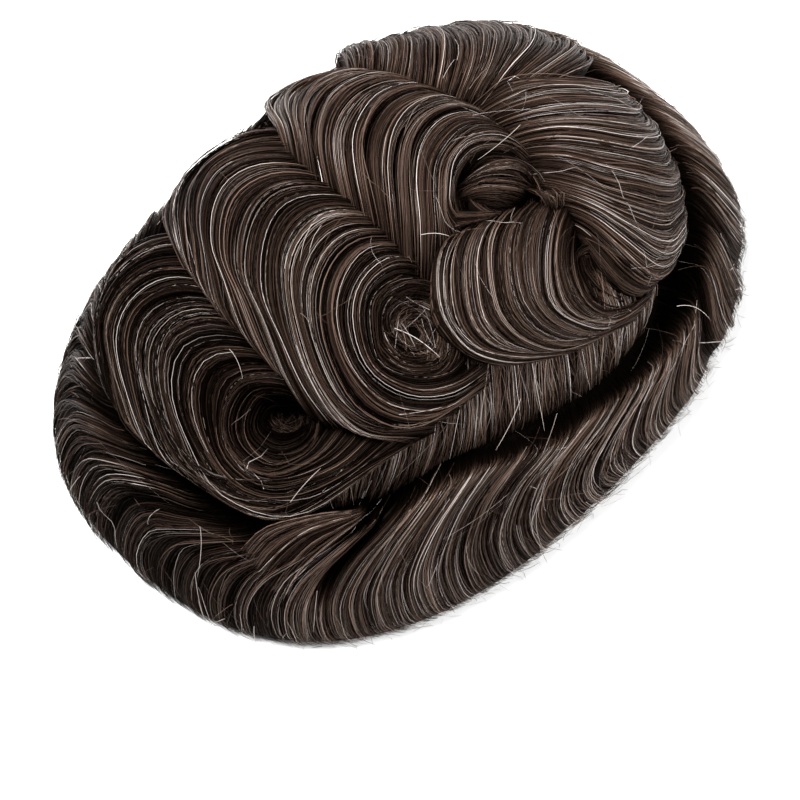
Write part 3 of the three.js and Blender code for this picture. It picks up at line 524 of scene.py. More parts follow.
def catmull_rom(points: Array, places: Array) -> Array:
    """A smooth curve through points.

    Args:
        points: The points, one row each.
        places: Where to read the curve, 0 at the first point and 1 more at each next one.

    Returns:
        The curve's points at those places.
    """
    ends = np.concatenate([[2 * points[0] - points[1]], points, [2 * points[-1] - points[-2]]])
    first = np.clip(np.floor(places).astype(int), 0, len(points) - 2)
    t = (places - first).reshape((-1,) + (1,) * (points.ndim - 1))
    p0, p1, p2, p3 = ends[first], ends[first + 1], ends[first + 2], ends[first + 3]
    return 0.5 * (2 * p1 + (p2 - p0) * t + (2 * p0 - 5 * p1 + 4 * p2 - p3) * t**2
                  + (3 * p1 - p0 - 3 * p2 + p3) * t**3)


def value_at_turn(values: tuple[float, ...], turn: Array) -> Array:
    """A smooth value round the edge, given at even turns.

    Args:
        values: The values at even turns from the near side.
        turn: The turns to read it at.

    Returns:
        The value at each turn.
    """
    ring = np.array(values[-2:] + values + values[:3])
    flat = (np.ravel(turn) % 1.0) * len(values) + 2
    return catmull_rom(ring, flat).reshape(np.shape(turn))


@dataclass(frozen=True)
class Dome:
    """A dome over the plan."""

    half_width: float
    half_length: float
    rise: float
    foot: float

    def points(self, across: Array, along: Array) -> Array:
        """The dome's points over places on the plan."""
        slope = np.arcsin(plan_reach(across, along) * math.sin(EDGE_STEEPNESS))
        share = (np.cos(slope) - math.cos(EDGE_STEEPNESS)) / (1 - math.cos(EDGE_STEEPNESS))
        height = self.foot + self.rise * share
        return np.stack([across * self.half_width, along * self.half_length, height], axis=-1)


@dataclass(frozen=True)
class HairForm:
    """The space that the hair fills, between the base and the dome of the crests."""

    base: Dome
    crest: Dome

    @classmethod
    def round_base(cls, low: Vector, high: Vector) -> "HairForm":
        """The form round a base cap.

        Args:
            low: The cap's lowest corner.
            high: The cap's highest corner.

        Returns:
            The form.
        """
        base = Dome(high.x, high.y, high.z - low.z, low.z)
        crest = Dome(high.x + HAIR_DEPTH_AT_SIDE, high.y + HAIR_DEPTH_AT_END,
                     high.z + HAIR_DEPTH_ON_TOP, 0.0)
        return cls(base, crest)

    def crest_points(self, across: Array, along: Array) -> Array:
        """Points on the crests' dome, drawn in a little where the hair curls under at its edge."""
        points = self.crest.points(across, along)
        low = np.maximum(0.0, 1 - points[..., 2] / EDGE_TUCK_HEIGHT)
        length = np.maximum(np.hypot(points[..., 0], points[..., 1]), MM)
        points[..., :2] *= (1 - EDGE_TUCK * low**2 / length)[..., None]
        return points

    def points(self, spots: Array) -> Array:
        """Points in space.

        Args:
            spots: Shares across and along and the depth, in the last axis.

        Returns:
            The points, in metres.
        """
        low = self.base.points(spots[..., 0], spots[..., 1])
        high = self.crest_points(spots[..., 0], spots[..., 1])
        return low + (high - low) * spots[..., 2:3]

    def outward(self, spots: Array) -> tuple[Array, Array]:
        """The way out of the hair.

        Args:
            spots: Shares across and along and the depth, in the last axis.

        Returns:
            Unit vectors from the base towards the crests, and the hair's thickness along them.
        """
        low = self.base.points(spots[..., 0], spots[..., 1])
        way = self.crest_points(spots[..., 0], spots[..., 1]) - low
        thickness = np.linalg.norm(way, axis=-1, keepdims=True)
        return way / thickness, thickness[..., 0]


def inside_groove(spots: Array) -> Array:
    """Spots drawn in so that none lies past the groove round the waves.

    Args:
        spots: Shares across and along and the depth, in the last axis.

    Returns:
        The spots, moved towards the middle where they lay past it.
    """
    limit = value_at_turn(GROOVE, plan_turn(spots[..., 0], spots[..., 1]))
    scale = np.minimum(1.0, limit / np.maximum(plan_reach(spots[..., 0], spots[..., 1]), 1e-6))
    drawn = spots.copy()
    drawn[..., :2] *= scale[..., None]
    return drawn


class StrandField:
    """The smooth family of strands that a lock is combed into, read at any place on it."""

    def __init__(self, grid: Array) -> None:
        """Keeps the field.

        Args:
            grid: Spots, by place across the lock, then along its strands.
        """
        self.grid = grid

    def spots(self, side: Array, way: Array) -> Array:
        """Spots on the field.

        Args:
            side: Places across the lock, 0 to 1.
            way: Places along its strands, 0 to 1.

        Returns:
            The spots: shares across and along and the depth.
        """
        rows, columns = self.grid.shape[:2]
        i = np.clip(side, 0, 1) * (rows - 1)
        j = np.clip(way, 0, 1) * (columns - 1)
        i0 = np.minimum(i.astype(int), rows - 2)
        j0 = np.minimum(j.astype(int), columns - 2)
        a, b = (i - i0)[..., None], (j - j0)[..., None]
        low = self.grid[i0, j0] * (1 - b) + self.grid[i0, j0 + 1] * b
        high = self.grid[i0 + 1, j0] * (1 - b) + self.grid[i0 + 1, j0 + 1] * b
        return low * (1 - a) + high * a


def spaced_evenly(points: Array, form: HairForm, count: int) -> Array:
    """A curve of spots read again at even steps of its real length.

    Args:
        points: The curve's spots.
        form: The hair's form, which gives their places in space.
        count: How many to read.

    Returns:
        The spots at even steps.
    """
    steps = np.linalg.norm(np.diff(form.points(points), axis=0), axis=1)
    run = np.concatenate([[0.0], np.cumsum(steps)])
    places = np.linspace(0, run[-1], count)
    return np.stack([np.interp(places, run, points[:, k]) for k in range(3)], axis=1)


def lock_field(guides: tuple, depths: tuple[float, ...], form: HairForm,
               root_run: float = ROOT_RUN, root_depth: float = ROOT_DEPTH,
               inside: bool = True) -> StrandField:
    """The field of strands of a lock of the waves.

    Args:
        guides: The strands that shape the lock.
        depths: The lock's depth at each of a strand's places.
        form: The hair's form.
        root_run: How far strands run before their first place, as a share of their first step.
        root_depth: Their depth there, as a share of the depth at their first place.
        inside: Whether the lock is kept inside the groove round the waves.

    Returns:
        The field. Its strands rise from the base at the root and turn down to it past the tip.
    """
    paths = []
    for guide in guides:
        spots = np.array([(*place, depth * guide.lift) for place, depth in zip(guide[1:], depths)])
        root = spots[0] - root_run * (spots[1] - spots[0])
        tip = spots[-1] + TIP_RUN * (spots[-1] - spots[-2])
        root[2] = root_depth * spots[0, 2]
        tip[2] = TIP_DEPTH * spots[-1, 2]
        whole = np.concatenate([[root], spots, [tip]])
        smooth = catmull_rom(whole, np.linspace(0, len(whole) - 1, GUIDE_SAMPLES))
        paths.append(spaced_evenly(smooth, form, FIELD_ALONG))
    stack = np.stack(paths)
    gaps = np.linalg.norm(np.diff(form.points(stack), axis=0), axis=2).mean(axis=1)
    run = np.concatenate([[0.0], np.cumsum(gaps)])
    places = np.interp(np.linspace(0, run[-1], FIELD_ACROSS), run, np.arange(len(stack)))
    grid = catmull_rom(stack, places)
    return StrandField(inside_groove(grid) if inside else grid)


def roll_field(start: float, end: float, form: HairForm) -> StrandField:
    """The field of strands of a stretch of the rolled edge.

    Args:
        start: The turn where the stretch begins.
        end: The turn where it ends.
        form: The hair's form.

    Returns:
        The field. Its strands run from the groove, over the roll, to the resting edge.
    """
    places = np.linspace(0, len(ROLL) - 1, GUIDE_SAMPLES)
    turns = np.linspace(start, end, FIELD_ACROSS)[:, None]
    steep = value_at_turn(STEEPNESS, turns)[..., None]
    gentle_rows, steep_rows = (catmull_rom(np.array(table), places) for table in (ROLL, STEEP_ROLL))
    rows = (1 - steep) * gentle_rows + steep * steep_rows
    turn = turns + value_at_turn(DRIFT, turns) * rows[..., 2]
    groove = value_at_turn(GROOVE, turn)
    across, along = plan_spots(turn, groove + (1 - groove) * rows[..., 0])
    grid = np.stack([across, along, rows[..., 1]], axis=-1)
    return StrandField(np.stack([spaced_evenly(path, form, FIELD_ALONG) for path in grid]))


@dataclass
class Relief:
    """The ridges and grooves that strands lie in, the same for a lock's strands and for its bed."""

    strips: float
    height: float
    phases: Array

    # Each wave's strips beside the lock's own, its share of the height, and how far it gathers strands
    WAVES = ((1.0, 0.4, 0.2), (2.3, 0.26, 0.28), (4.9, 0.15, 0.25), (10.7, 0.1, 0.18),
             (21.3, 0.07, 0.16))

    def angle(self, index: int, side: Array, way: Array) -> Array:
        """Where places are in one wave of the relief."""
        turn, lean, drift = self.phases[index]
        pitch = self.strips * self.WAVES[index][0]
        bend = (1 + index) * drift * np.sin(np.pi * (way + 2 * lean))
        uneven = (0.9 * np.sin(2 * np.pi * (0.37 * pitch * side + lean))
                  + 0.7 * np.sin(4.1 * pitch * side + 9 * drift))
        return 2 * np.pi * (pitch * side + turn) + bend + uneven

    def lift(self, side: Array, way: Array) -> Array:
        """The height of the relief, in metres, none at the roots and tips."""
        total = sum(share * np.cos(self.angle(index, side, way))
                    for index, (_, share, _) in enumerate(self.WAVES))
        return self.height * total * np.sin(np.pi * np.clip(way, 0, 1)) ** 0.7

    def gathered(self, side: Array, way: Array) -> Array:
        """Places across the lock, moved towards the ridges."""
        moved = side
        for index, (pitch, _, gather) in enumerate(self.WAVES):
            strip_angle = 2 * np.pi * self.strips * pitch
            moved = moved - gather * np.sin(self.angle(index, moved, way)) / strip_angle
        return moved


class MeshParts:
    """Vertices, faces and attributes gathered for one piece."""

    def __init__(self) -> None:
        """Starts with nothing."""
        self.points: list[Array] = []
        self.quads: list[Array] = []
        self.tones: list[Array] = []
        self.maps: list[Array] = []
        self.count = 0

    def add(self, points: Array, quads: Array, tones: Array, maps: Array) -> None:
        """Adds a shape.

        Args:
            points: Its vertices.
            quads: Its four-sided faces, as indices into its vertices.
            tones: Each vertex's tone, into which most strands have painted shade multiplied.
            maps: Each vertex's place across and along the hair, in metres.
        """
        self.points.append(points)
        self.quads.append(quads + self.count)
        self.tones.append(tones)
        self.maps.append(maps)
        self.count += len(points)

    def object(self, name: str, bed_faces: int) -> bpy.types.Object:
        """Makes the piece.

        Args:
            name: The piece's name.
            bed_faces: How many of its first faces are the bed's.

        Returns:
            The new object, linked to the scene.
        """
        points = np.concatenate(self.points).astype(np.float32)
        quads = np.concatenate(self.quads).astype(np.int32)
        corners = quads.ravel()
        mesh = bpy.data.meshes.new(name)
        mesh.vertices.add(len(points))
        mesh.vertices.foreach_set("co", points.ravel())
        mesh.loops.add(len(corners))
        mesh.loops.foreach_set("vertex_index", corners)
        mesh.polygons.add(len(quads))
        mesh.polygons.foreach_set("loop_start", np.arange(0, len(corners), 4, dtype=np.int32))
        mesh.polygons.foreach_set("use_smooth", np.ones(len(quads), bool))
        surface = np.where(np.arange(len(quads)) < bed_faces, HairPart.BED.value, HairPart.STRAND.value)
        mesh.polygons.foreach_set("material_index", surface.astype(np.int32))
        mesh.update(calc_edges=True)
        # The tone holds each strand's own tone with painted shade multiplied in
        tone = mesh.attributes.new("tone", "FLOAT", "POINT")
        tone.data.foreach_set("value", np.concatenate(self.tones).astype(np.float32))
        layer = mesh.uv_layers.new(name="strands")
        layer.uv.foreach_set("vector", np.concatenate(self.maps).astype(np.float32)[corners].ravel())
        mesh.validate()
        piece = bpy.data.objects.new(name, mesh)
        bpy.context.scene.collection.objects.link(piece)
        return piece


def add_slab(parts: MeshParts, top: Array, bottom: Array, maps: Array) -> None:
    """Adds a closed solid between two grids of points.

    Args:
        parts: What it is added to.
        top: The outer grid, by row and column.
        bottom: The inner grid.
        maps: Each place's run across and along the hair, in metres.
    """
    rows, columns = top.shape[:2]
    index = np.arange(rows * columns).reshape(rows, columns)
    under = index + rows * columns
    over = np.stack([index[:-1, :-1], index[1:, :-1], index[1:, 1:], index[:-1, 1:]], axis=-1)
    below = np.stack([under[:-1, :-1], under[:-1, 1:], under[1:, 1:], under[1:, :-1]], axis=-1)
    ring = np.concatenate([index[0, :-1], index[:-1, -1], index[-1, :0:-1], index[:0:-1, 0]])
    after = np.roll(ring, -1)
    low = rows * columns
    wall = np.stack([ring, after, after + low, ring + low], axis=-1)
    quads = np.concatenate([over.reshape(-1, 4), below.reshape(-1, 4), wall])
    points = np.concatenate([top.reshape(-1, 3), bottom.reshape(-1, 3)])
    corner = points[quads]
    normal = np.cross(corner[:, 2] - corner[:, 0], corner[:, 3] - corner[:, 1])
    if (corner.mean(axis=1) * normal).sum() < 0:
        quads = quads[:, ::-1]
    both = np.concatenate([maps.reshape(-1, 2), maps.reshape(-1, 2)])
    parts.add(points, quads, np.full(len(points), BED_TONE), both)


def add_strands(parts: MeshParts, lines: Array, out: Array, radii: Array, tones: Array,
                tilts: Array) -> None:
    """Adds strands, each a thin tapered blade turned a little round its own line.

    Args:
        parts: What they are added to.
        lines: Each strand's line of points.
        out: The way out of the hair at each point.
        radii: Half the width at each point.
        tones: The tone at each point, with any painted shade multiplied in.
        tilts: How far each strand is turned round its line, in radians.
    """
    strands, rings = lines.shape[:2]
    along = np.gradient(lines, axis=1)
    along /= np.maximum(np.linalg.norm(along, axis=-1, keepdims=True), 1e-9)
    up = out - (out * along).sum(-1, keepdims=True) * along
    up /= np.maximum(np.linalg.norm(up, axis=-1, keepdims=True), 1e-9)
    side = np.cross(along, up)
    turn = tilts[:, None, None]
    side = np.cos(turn) * side - np.sin(turn) * up
    points = np.stack([lines - radii[..., None] * side, lines + radii[..., None] * side], axis=2)
    index = np.arange(strands * rings * 2).reshape(strands, rings, 2)
    quads = np.stack([index[:, :-1, 0], index[:, :-1, 1], index[:, 1:, 1], index[:, 1:, 0]], axis=-1)
    maps = np.zeros((strands * rings * 2, 2))
    spread = np.repeat(tones.reshape(-1), 2)
    parts.add(points.reshape(-1, 3), quads.reshape(-1, 4), spread, maps)


@dataclass(frozen=True)
class Comb:
    """How a family of strands is combed.

    Attributes:
        count: How many strands there are.
        rings: The points along each.
        radius: Their mean half width.
        bury: How far the deepest lie under the others.
        wander: How far they swing to the side.
        loose: The share of them that are loose.
        loose_lift: How far a loose one bows out.
        short: The share that end early, and the share that begin late.
        start: Where they begin, as a share of the way along.
        end: Where they end.
        tone: How much lighter they are than the lock's others.
        greys: Their greys, as a share of the usual.
    """

    count: int
    rings: int = 18
    radius: float = 0.105 * MM
    bury: float = 2.4 * MM
    wander: float = 0.5 * MM
    loose: float = 0.04
    loose_lift: float = 1.6 * MM
    short: float = 0.07
    start: float = 0.0
    end: float = 1.0
    tone: float = 0.0
    greys: float = 1.0


@dataclass(frozen=True)
class Flyaways:
    """Loose fine hairs that cross the combed ones or stand off the edge.

    Attributes:
        count: How many there are.
        length: Their least and greatest length.
        lean: How far they turn away from the combed ones, in radians.
        rise: How far their tips stand out.
        where: The places along the lock between which they begin.
        radius: Their mean half width.
        rings: The points along each.
    """

    count: int
    length: Pair = (7 * MM, 20 * MM)
    lean: float = 0.5
    rise: float = 0.9 * MM
    where: Pair = (0.1, 0.8)
    radius: float = 0.07 * MM
    rings: int = 7


CROSSING = Flyaways(14, (12 * MM, 26 * MM), 0.9, 1.6 * MM)
# The fine hairs that stand off the resting edge
WISPS_IN_A_TURN = 420


@dataclass(frozen=True)
class Tuft:
    """A small bunch of strands of its own inside a lock."""

    guides: tuple
    depths: tuple[float, ...]
    comb: Comb
    inside: bool = True


@dataclass(frozen=True)
class Floor:
    """The low ground in the hollow of a curl, and the strands that wind round in it.

    Attributes:
        place: The plan's shares at its middle.
        reach: How far it goes across and along.
        low: Its depth in the middle.
        high: Its depth at its rim.
        swirl: How many strands wind round in it.
        tone: The painted shade in its middle, as a share of the tone at its rim; over 1 it is painted
            light.
        turns: The least and the most that a strand winds, in turns.
        drawn_in: How far a strand is drawn to the middle, as a share.
    """

    place: Pair
    reach: Pair
    low: float
    high: float
    swirl: int
    tone: float = 0.25
    turns: Pair = (0.3, 0.7)
    drawn_in: float = 0.45


# The floors of the curls, and the tufts by the node of their lock
# A floor's last number paints its middle darker as painted shade under 1, lighter as painted light over
# 1
FRONT_FLOOR = Floor((0.17, -0.62), (0.17, 0.095), 0.26, 0.7, 340, 1.05)
MIDDLE_FLOOR = Floor((0.36, -0.23), (0.18, 0.12), 0.44, 0.8, 480, 1.35)
UPPER_FLOOR = Floor((0.2, 0.25), (0.16, 0.11), 0.4, 0.66, 340, 0.7)
CROWN_FLOOR = Floor((0.66, 0.29), (0.13, 0.08), 0.35, 0.7, 240, 0.45)
TUFTS = {
    "upper_curl": (Tuft(INNER_ROLL_GUIDES, INNER_ROLL_DEPTHS, Comb(420, 15, bury=1.2 * MM)),),
    "crown_curl": (Tuft(CROWN_HOLLOW_GUIDES, CROWN_HOLLOW_DEPTHS,
                        Comb(240, 13, bury=1.6 * MM, tone=-0.05)),
                   Tuft(UNDER_ROLL_GUIDES, UNDER_ROLL_DEPTHS, Comb(170, 13, bury=1.0 * MM, tone=0.1)),
                   Tuft(PARTING_GUIDES, PARTING_DEPTHS, Comb(150, 9, bury=0.9 * MM, tone=0.05))),
    "rim_front": (Tuft(ROLL_TIP_GUIDES, ROLL_TIP_DEPTHS, Comb(260, 15, bury=1.4 * MM, tone=0.22),
                       inside=False),),
}


class LockOfHair:
    """One piece of the hair: a bed under thousands of strands, for one node of the frame."""

    def __init__(self, node: str, form: HairForm, comb: Comb, tone: float, seed: int,
                 flyaways: tuple[Flyaways, ...] = (Flyaways(34), CROSSING)) -> None:
        """Sets the lock up.

        Args:
            node: The frame's node that it stands for.
            form: The hair's form.
            comb: How its strands are combed.
            tone: How much lighter it is than the rest.
            seed: The seed of its random numbers.
            flyaways: Its loose hairs.
        """
        self.node = node
        self.form = form
        self.comb = comb
        self.tone = tone
        self.flyaways = flyaways
        self.rng = np.random.default_rng(seed)
        self.parts = MeshParts()
        self.field = self.make_field()
        self.width, self.length = self.measure(self.field)
        self.relief = self.make_relief(self.width)

    def make_field(self) -> StrandField:
        """The field of the lock's strands."""
        raise NotImplementedError

    def relief_height(self) -> float:
        """The height of the lock's relief."""
        return RELIEF_HEIGHT

    def make_relief(self, width: float) -> Relief:
        """The ridges and grooves of a family of strands this wide."""
        strips = max(1.0, round(width / STRIP_WIDTH))
        return Relief(strips, self.relief_height(), self.rng.random((len(Relief.WAVES), 3)))

    def measure(self, field: StrandField) -> Pair:
        """The width of a family of strands and their length, in metres."""
        points = self.form.points(field.grid)
        width = np.linalg.norm(np.diff(points, axis=0), axis=-1).sum(axis=0).mean()
        length = np.linalg.norm(np.diff(points, axis=1), axis=-1).sum(axis=1).mean()
        return float(width), float(length)

    def bed_bottom(self, spots: Array, top: Array) -> Array:
        """The inner grid of the bed, just clear of the base.

        Args:
            spots: The spots that the bed lies under.
            top: The outer grid of the bed.

        Returns:
            The grid's points.
        """
        _, thickness = self.form.outward(spots)
        low = spots.copy()
        low[..., 2] = ROOT_CLEARANCE / thickness
        return self.form.points(low)

    def add_bed(self) -> None:
        """Adds the closed bed that the strands lie on, whose finish paints it near black as shade."""
        side, way = np.meshgrid(np.linspace(0, 1, BED_CELLS[0] + 1), np.linspace(0, 1, BED_CELLS[1] + 1),
                                indexing="ij")
        spots = self.field.spots(side, way)
        top, _ = self.raised(spots, self.relief.lift(side, way) - BED_DROP, 2 * ROOT_CLEARANCE)
        maps = np.stack([side * self.width, way * self.length], axis=-1)
        add_slab(self.parts, top, self.bed_bottom(spots, top), maps)

    def radii(self, radius: float, count: int, rings: int) -> Array:
        """Radii along strands, drawn in at the tips.

        Args:
            radius: The mean radius.
            count: How many strands.
            rings: How many points a strand has.

        Returns:
            The radius of each strand at each point.
        """
        t = np.linspace(0, 1, rings)
        taper = np.minimum(1.0, (1 - t) / TIP_SHARE) ** 0.6 * (1 - TIP_RADIUS) + TIP_RADIUS
        own = radius * self.rng.uniform(*RADIUS_SPREAD, count)
        return own[:, None] * taper[None, :]

    def tones(self, side: Array, lighter: float = 0.0, greys: float = 1.0) -> Array:
        """Each strand's tone: browns in broad lighter and darker bands across the lock, partly their own
        tone and partly painted sheen, and some greys.

        Args:
            side: The strands' places across the lock.
            lighter: How much lighter they are than the lock's other strands.
            greys: Their greys, as a share of the usual.

        Returns:
            The tones, 0 to 1.
        """
        count = len(side)
        turns = self.relief.strips * side
        # Broad bands across the lock: partly the strips' own tone, partly painted sheen
        band_tone_and_sheen = (0.06 * np.sin(2 * np.pi * (1.7 * turns + self.rng.random()))
                 + 0.05 * np.sin(2 * np.pi * (4.3 * turns + self.rng.random())))
        tone = BROWN_TONE + self.tone + lighter + band_tone_and_sheen + BROWN_SPREAD * self.rng.standard_normal(count)
        grey = self.rng.random(count) < greys * GREY_SHARE * (1 + GREY_TREND * self.tone)
        grey_tone = GREY_TONE + GREY_RANGE * self.rng.random(count) ** 1.8
        return np.where(grey, grey_tone, np.clip(tone, *BROWNS))

    def tilts(self, count: int) -> Array:
        """How far each of some strands is turned round its line, in radians."""
        return self.rng.uniform(-MOST_TILT, MOST_TILT, count)

    def raised(self, spots: Array, lift: Array, least: float) -> tuple[Array, Array]:
        """Lines of points, raised along the way out of the hair.

        Args:
            spots: Shares across and along and the depth, in the last axis.
            lift: How far each is raised, in metres.
            least: The least that each is over the base, in metres.

        Returns:
            The points in space, and the way out at each.
        """
        out, thickness = self.form.outward(spots)
        high = spots.copy()
        high[..., 2] = np.maximum(spots[..., 2] + lift / thickness, least / thickness)
        return self.form.points(high), out

    def add_comb(self, field: StrandField, comb: Comb, relief: Relief, width: float) -> None:
        """Adds one family of strands.

        Args:
            field: The field that they follow.
            comb: How they are combed.
            relief: The ridges that they lie in.
            width: The width of the family, in metres.
        """
        count = comb.count
        rng = self.rng
        t = np.linspace(0, 1, comb.rings)[None, :]
        home = (np.arange(count) + rng.random(count)) / count
        start = comb.start + rng.uniform(0, 0.05, count)
        end = comb.end - 0.12 * rng.beta(1.2, 3, count)
        cut = rng.random(count) < comb.short
        span = comb.end - comb.start
        end = np.where(cut, comb.start + span * rng.uniform(0.5, 0.9, count), end)
        late = rng.random(count) < comb.short
        start = np.where(late, comb.start + span * rng.uniform(0.1, 0.4, count), start)
        shift = rng.uniform(-1, 1, (count, 1)) / (comb.rings - 1)
        way = start[:, None] + (end - start)[:, None] * (t + shift * np.minimum(1.0, 8 * t * (1 - t)))
        swing = np.sin(2 * np.pi * (rng.uniform(0.3, 1.3, (count, 1)) * t + rng.random((count, 1))))
        stray = rng.random(count) < comb.loose
        reach = comb.wander * rng.beta(1.0, 2.0, count) * np.where(stray, 4.0, 1.6)
        side = home[:, None] + reach[:, None] / width * swing
        side = np.clip(relief.gathered(side, way), 0, 1)
        spots = field.spots(side, way)
        # Painted shade: darker where the strands lie low and towards their roots and tips
        shade = self.shade(spots[..., 2], way)
        buried = -comb.bury * rng.beta(1.0, 1.7, count)
        lift = relief.lift(side, way) + np.where(stray, LOOSE_CLEARANCE, buried)[:, None]
        bow = np.where(stray, comb.loose_lift * rng.uniform(0.2, 1.0, count), 0.0)[:, None]
        lift = lift + bow * np.sin(np.pi * np.clip(t * rng.uniform(0.8, 1.3, (count, 1)), 0, 1))
        lines, out = self.raised(spots, lift, ROOT_CLEARANCE)
        lines[..., 2] = np.maximum(lines[..., 2], 2 * comb.radius)
        # Painted shade: buried strands are darker the deeper they lie; loose ones are not
        shade = shade * np.where(stray, 1.0, 1 + DEPTH_SHADE * buried / comb.bury)[:, None]
        tones = self.tones(home, comb.tone, comb.greys)
        grey_width = np.where(tones > GREY_TONE, GREY_WIDTH, 1.0)[:, None]
        radii = self.radii(comb.radius, count, comb.rings) * grey_width
        # The tones that are drawn carry the painted shade
        shade = tones[:, None] * shade
        tilts = self.tilts(count)
        deep = (buried < -DEEP_SHARE * comb.bury) & ~stray
        for chosen, step in ((~deep, 1), (deep, 2)):
            add_strands(self.parts, lines[chosen, ::step], out[chosen, ::step], radii[chosen, ::step],
                        shade[chosen, ::step], tilts[chosen])

    def add_edges(self) -> None:
        """Adds the strands that show on the steep flanks of the lock."""
        rng = self.rng
        count = 2 * FLANK_STRANDS
        t = np.linspace(0, 1, self.comb.rings)[None, :]
        start = self.comb.start + rng.uniform(0, 0.1, count)
        way = start[:, None] + (self.comb.end - 0.1 * rng.random(count) - start)[:, None] * t
        edge = np.abs(np.repeat([0.0, 1.0], FLANK_STRANDS) - rng.uniform(0, 0.006, count))[:, None]
        spots = self.field.spots(edge + 0 * way, way)
        row = (np.tile(np.arange(FLANK_STRANDS), 2) + rng.random(count))[:, None]
        sunk = 1 - FLANK_REACH * row / FLANK_STRANDS
        swing = rng.random((count, 1)) + rng.uniform(0.5, 1.5, (count, 1)) * t
        spots[..., 2] *= np.clip(sunk + 0.05 * np.sin(2 * np.pi * swing), 0.1, 1.0)
        # Painted shade: darker where the flank strands lie low
        shade = self.shade(spots[..., 2], way)
        lines, out = self.raised(spots, self.relief.lift(edge, way), ROOT_CLEARANCE)
        lines[..., 2] = np.maximum(lines[..., 2], 2 * self.comb.radius)
        radii = self.radii(1.3 * self.comb.radius, count, self.comb.rings)
        tones = self.tones(rng.random(count))[:, None] * shade
        add_strands(self.parts, lines, out, radii, tones, self.tilts(count))

    def add_flyaways(self, loose: Flyaways) -> None:
        """Adds loose fine hairs."""
        rng = self.rng
        count = loose.count
        t = np.linspace(0, 1, loose.rings)[None, :]
        length = rng.uniform(*loose.length, count)[:, None]
        lean = rng.normal(0, loose.lean, count)[:, None]
        way = rng.uniform(*loose.where, count)[:, None] + length * np.cos(lean) / self.length * t
        bend = rng.normal(0, 0.12, count)[:, None] * length / self.width * t * (1 - t)
        side = rng.random(count)[:, None] + length * np.sin(lean) / self.width * t + bend
        spots = self.field.spots(np.clip(side, 0, 1), np.clip(way, 0, 1))
        rise = loose.rise * rng.beta(1.0, 1.6, count)[:, None]
        lift = self.relief.lift(side, way) + LOOSE_CLEARANCE + rise * t ** 1.5
        lines, out = self.raised(spots, lift, -math.inf)
        lines[..., 2] = np.maximum(lines[..., 2], GROUND_CLEARANCE)
        tones = np.repeat(rng.uniform(*FLYAWAY_TONES, count)[:, None], loose.rings, axis=1)
        radii = self.radii(loose.radius, count, loose.rings)
        add_strands(self.parts, lines, out, radii, tones, self.tilts(count))

    def add_strays(self) -> None:
        """Adds the stiff hairs that lie across the others."""
        strays = [stray for stray in STRAYS if stray.node == self.node]
        if not strays:
            return
        t = np.linspace(0, 1, STRAY_RINGS)[None, :, None]
        start = np.array([stray.start for stray in strays])[:, None]
        way = np.array([stray.end for stray in strays])[:, None] - start
        bow = np.array([stray.bow for stray in strays])[:, None, None]
        across = way[..., ::-1] * (-1, 1) / np.linalg.norm(way, axis=-1, keepdims=True)
        plan = start + way * t + 4 * bow * t * (1 - t) * across
        height = STRAY_DEPTH + 0.03 * np.sin(np.pi * t) + np.zeros((len(strays), 1, 1))
        lines, out = self.raised(np.concatenate([plan, height], axis=-1), 0.0, -math.inf)
        radii = self.radii(STRAY_RADIUS, len(strays), STRAY_RINGS)
        tones = np.repeat(self.rng.uniform(*STRAY_TONES, len(strays))[:, None], STRAY_RINGS, axis=1)
        tilts = self.rng.uniform(-STRAY_TILT, STRAY_TILT, len(strays))
        add_strands(self.parts, lines, out, radii, tones, tilts)

    def shade(self, depth: Array, way: Array) -> Array:
        """The painted shade on strands: darker where they lie low, and towards their roots and tips.

        Args:
            depth: The depth of each place on them.
            way: How far along it is.

        Returns:
            What a strand's tone is multiplied by at each place.
        """
        low = np.interp(depth, (0.2, 0.55, 0.86), (0.1, 0.5, 1.0))
        return low * np.interp(way, (0.0, 0.1, 0.95, 1.0), (0.4, 1.0, 1.0, 0.7))

    def build(self) -> bpy.types.Object:
        """Makes the lock and puts it in its node's place.

        Returns:
            The new piece.
        """
        self.add_bed()
        self.add_extras()
        bed_faces = sum(len(quads) for quads in self.parts.quads)
        self.add_comb(self.field, self.comb, self.relief, self.width)
        self.add_edges()
        self.add_tufts()
        self.add_more_strands()
        self.add_strays()
        for loose in self.flyaways:
            self.add_flyaways(loose)
        piece = self.parts.object(f"{self.node}_hair", bed_faces)
        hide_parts(self.node)
        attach(piece, "root")
        return piece

    def add_extras(self) -> None:
        """Adds more beds, where a lock has them."""

    def add_tufts(self) -> None:
        """Adds the small bunches of strands."""
        for tuft in TUFTS.get(self.node, ()):
            field = lock_field(tuft.guides, tuft.depths, self.form, inside=tuft.inside)
            width, _ = self.measure(field)
            self.add_comb(field, tuft.comb, self.make_relief(width), width)

    def add_more_strands(self) -> None:
        """Adds more families of strands, where a lock has them."""


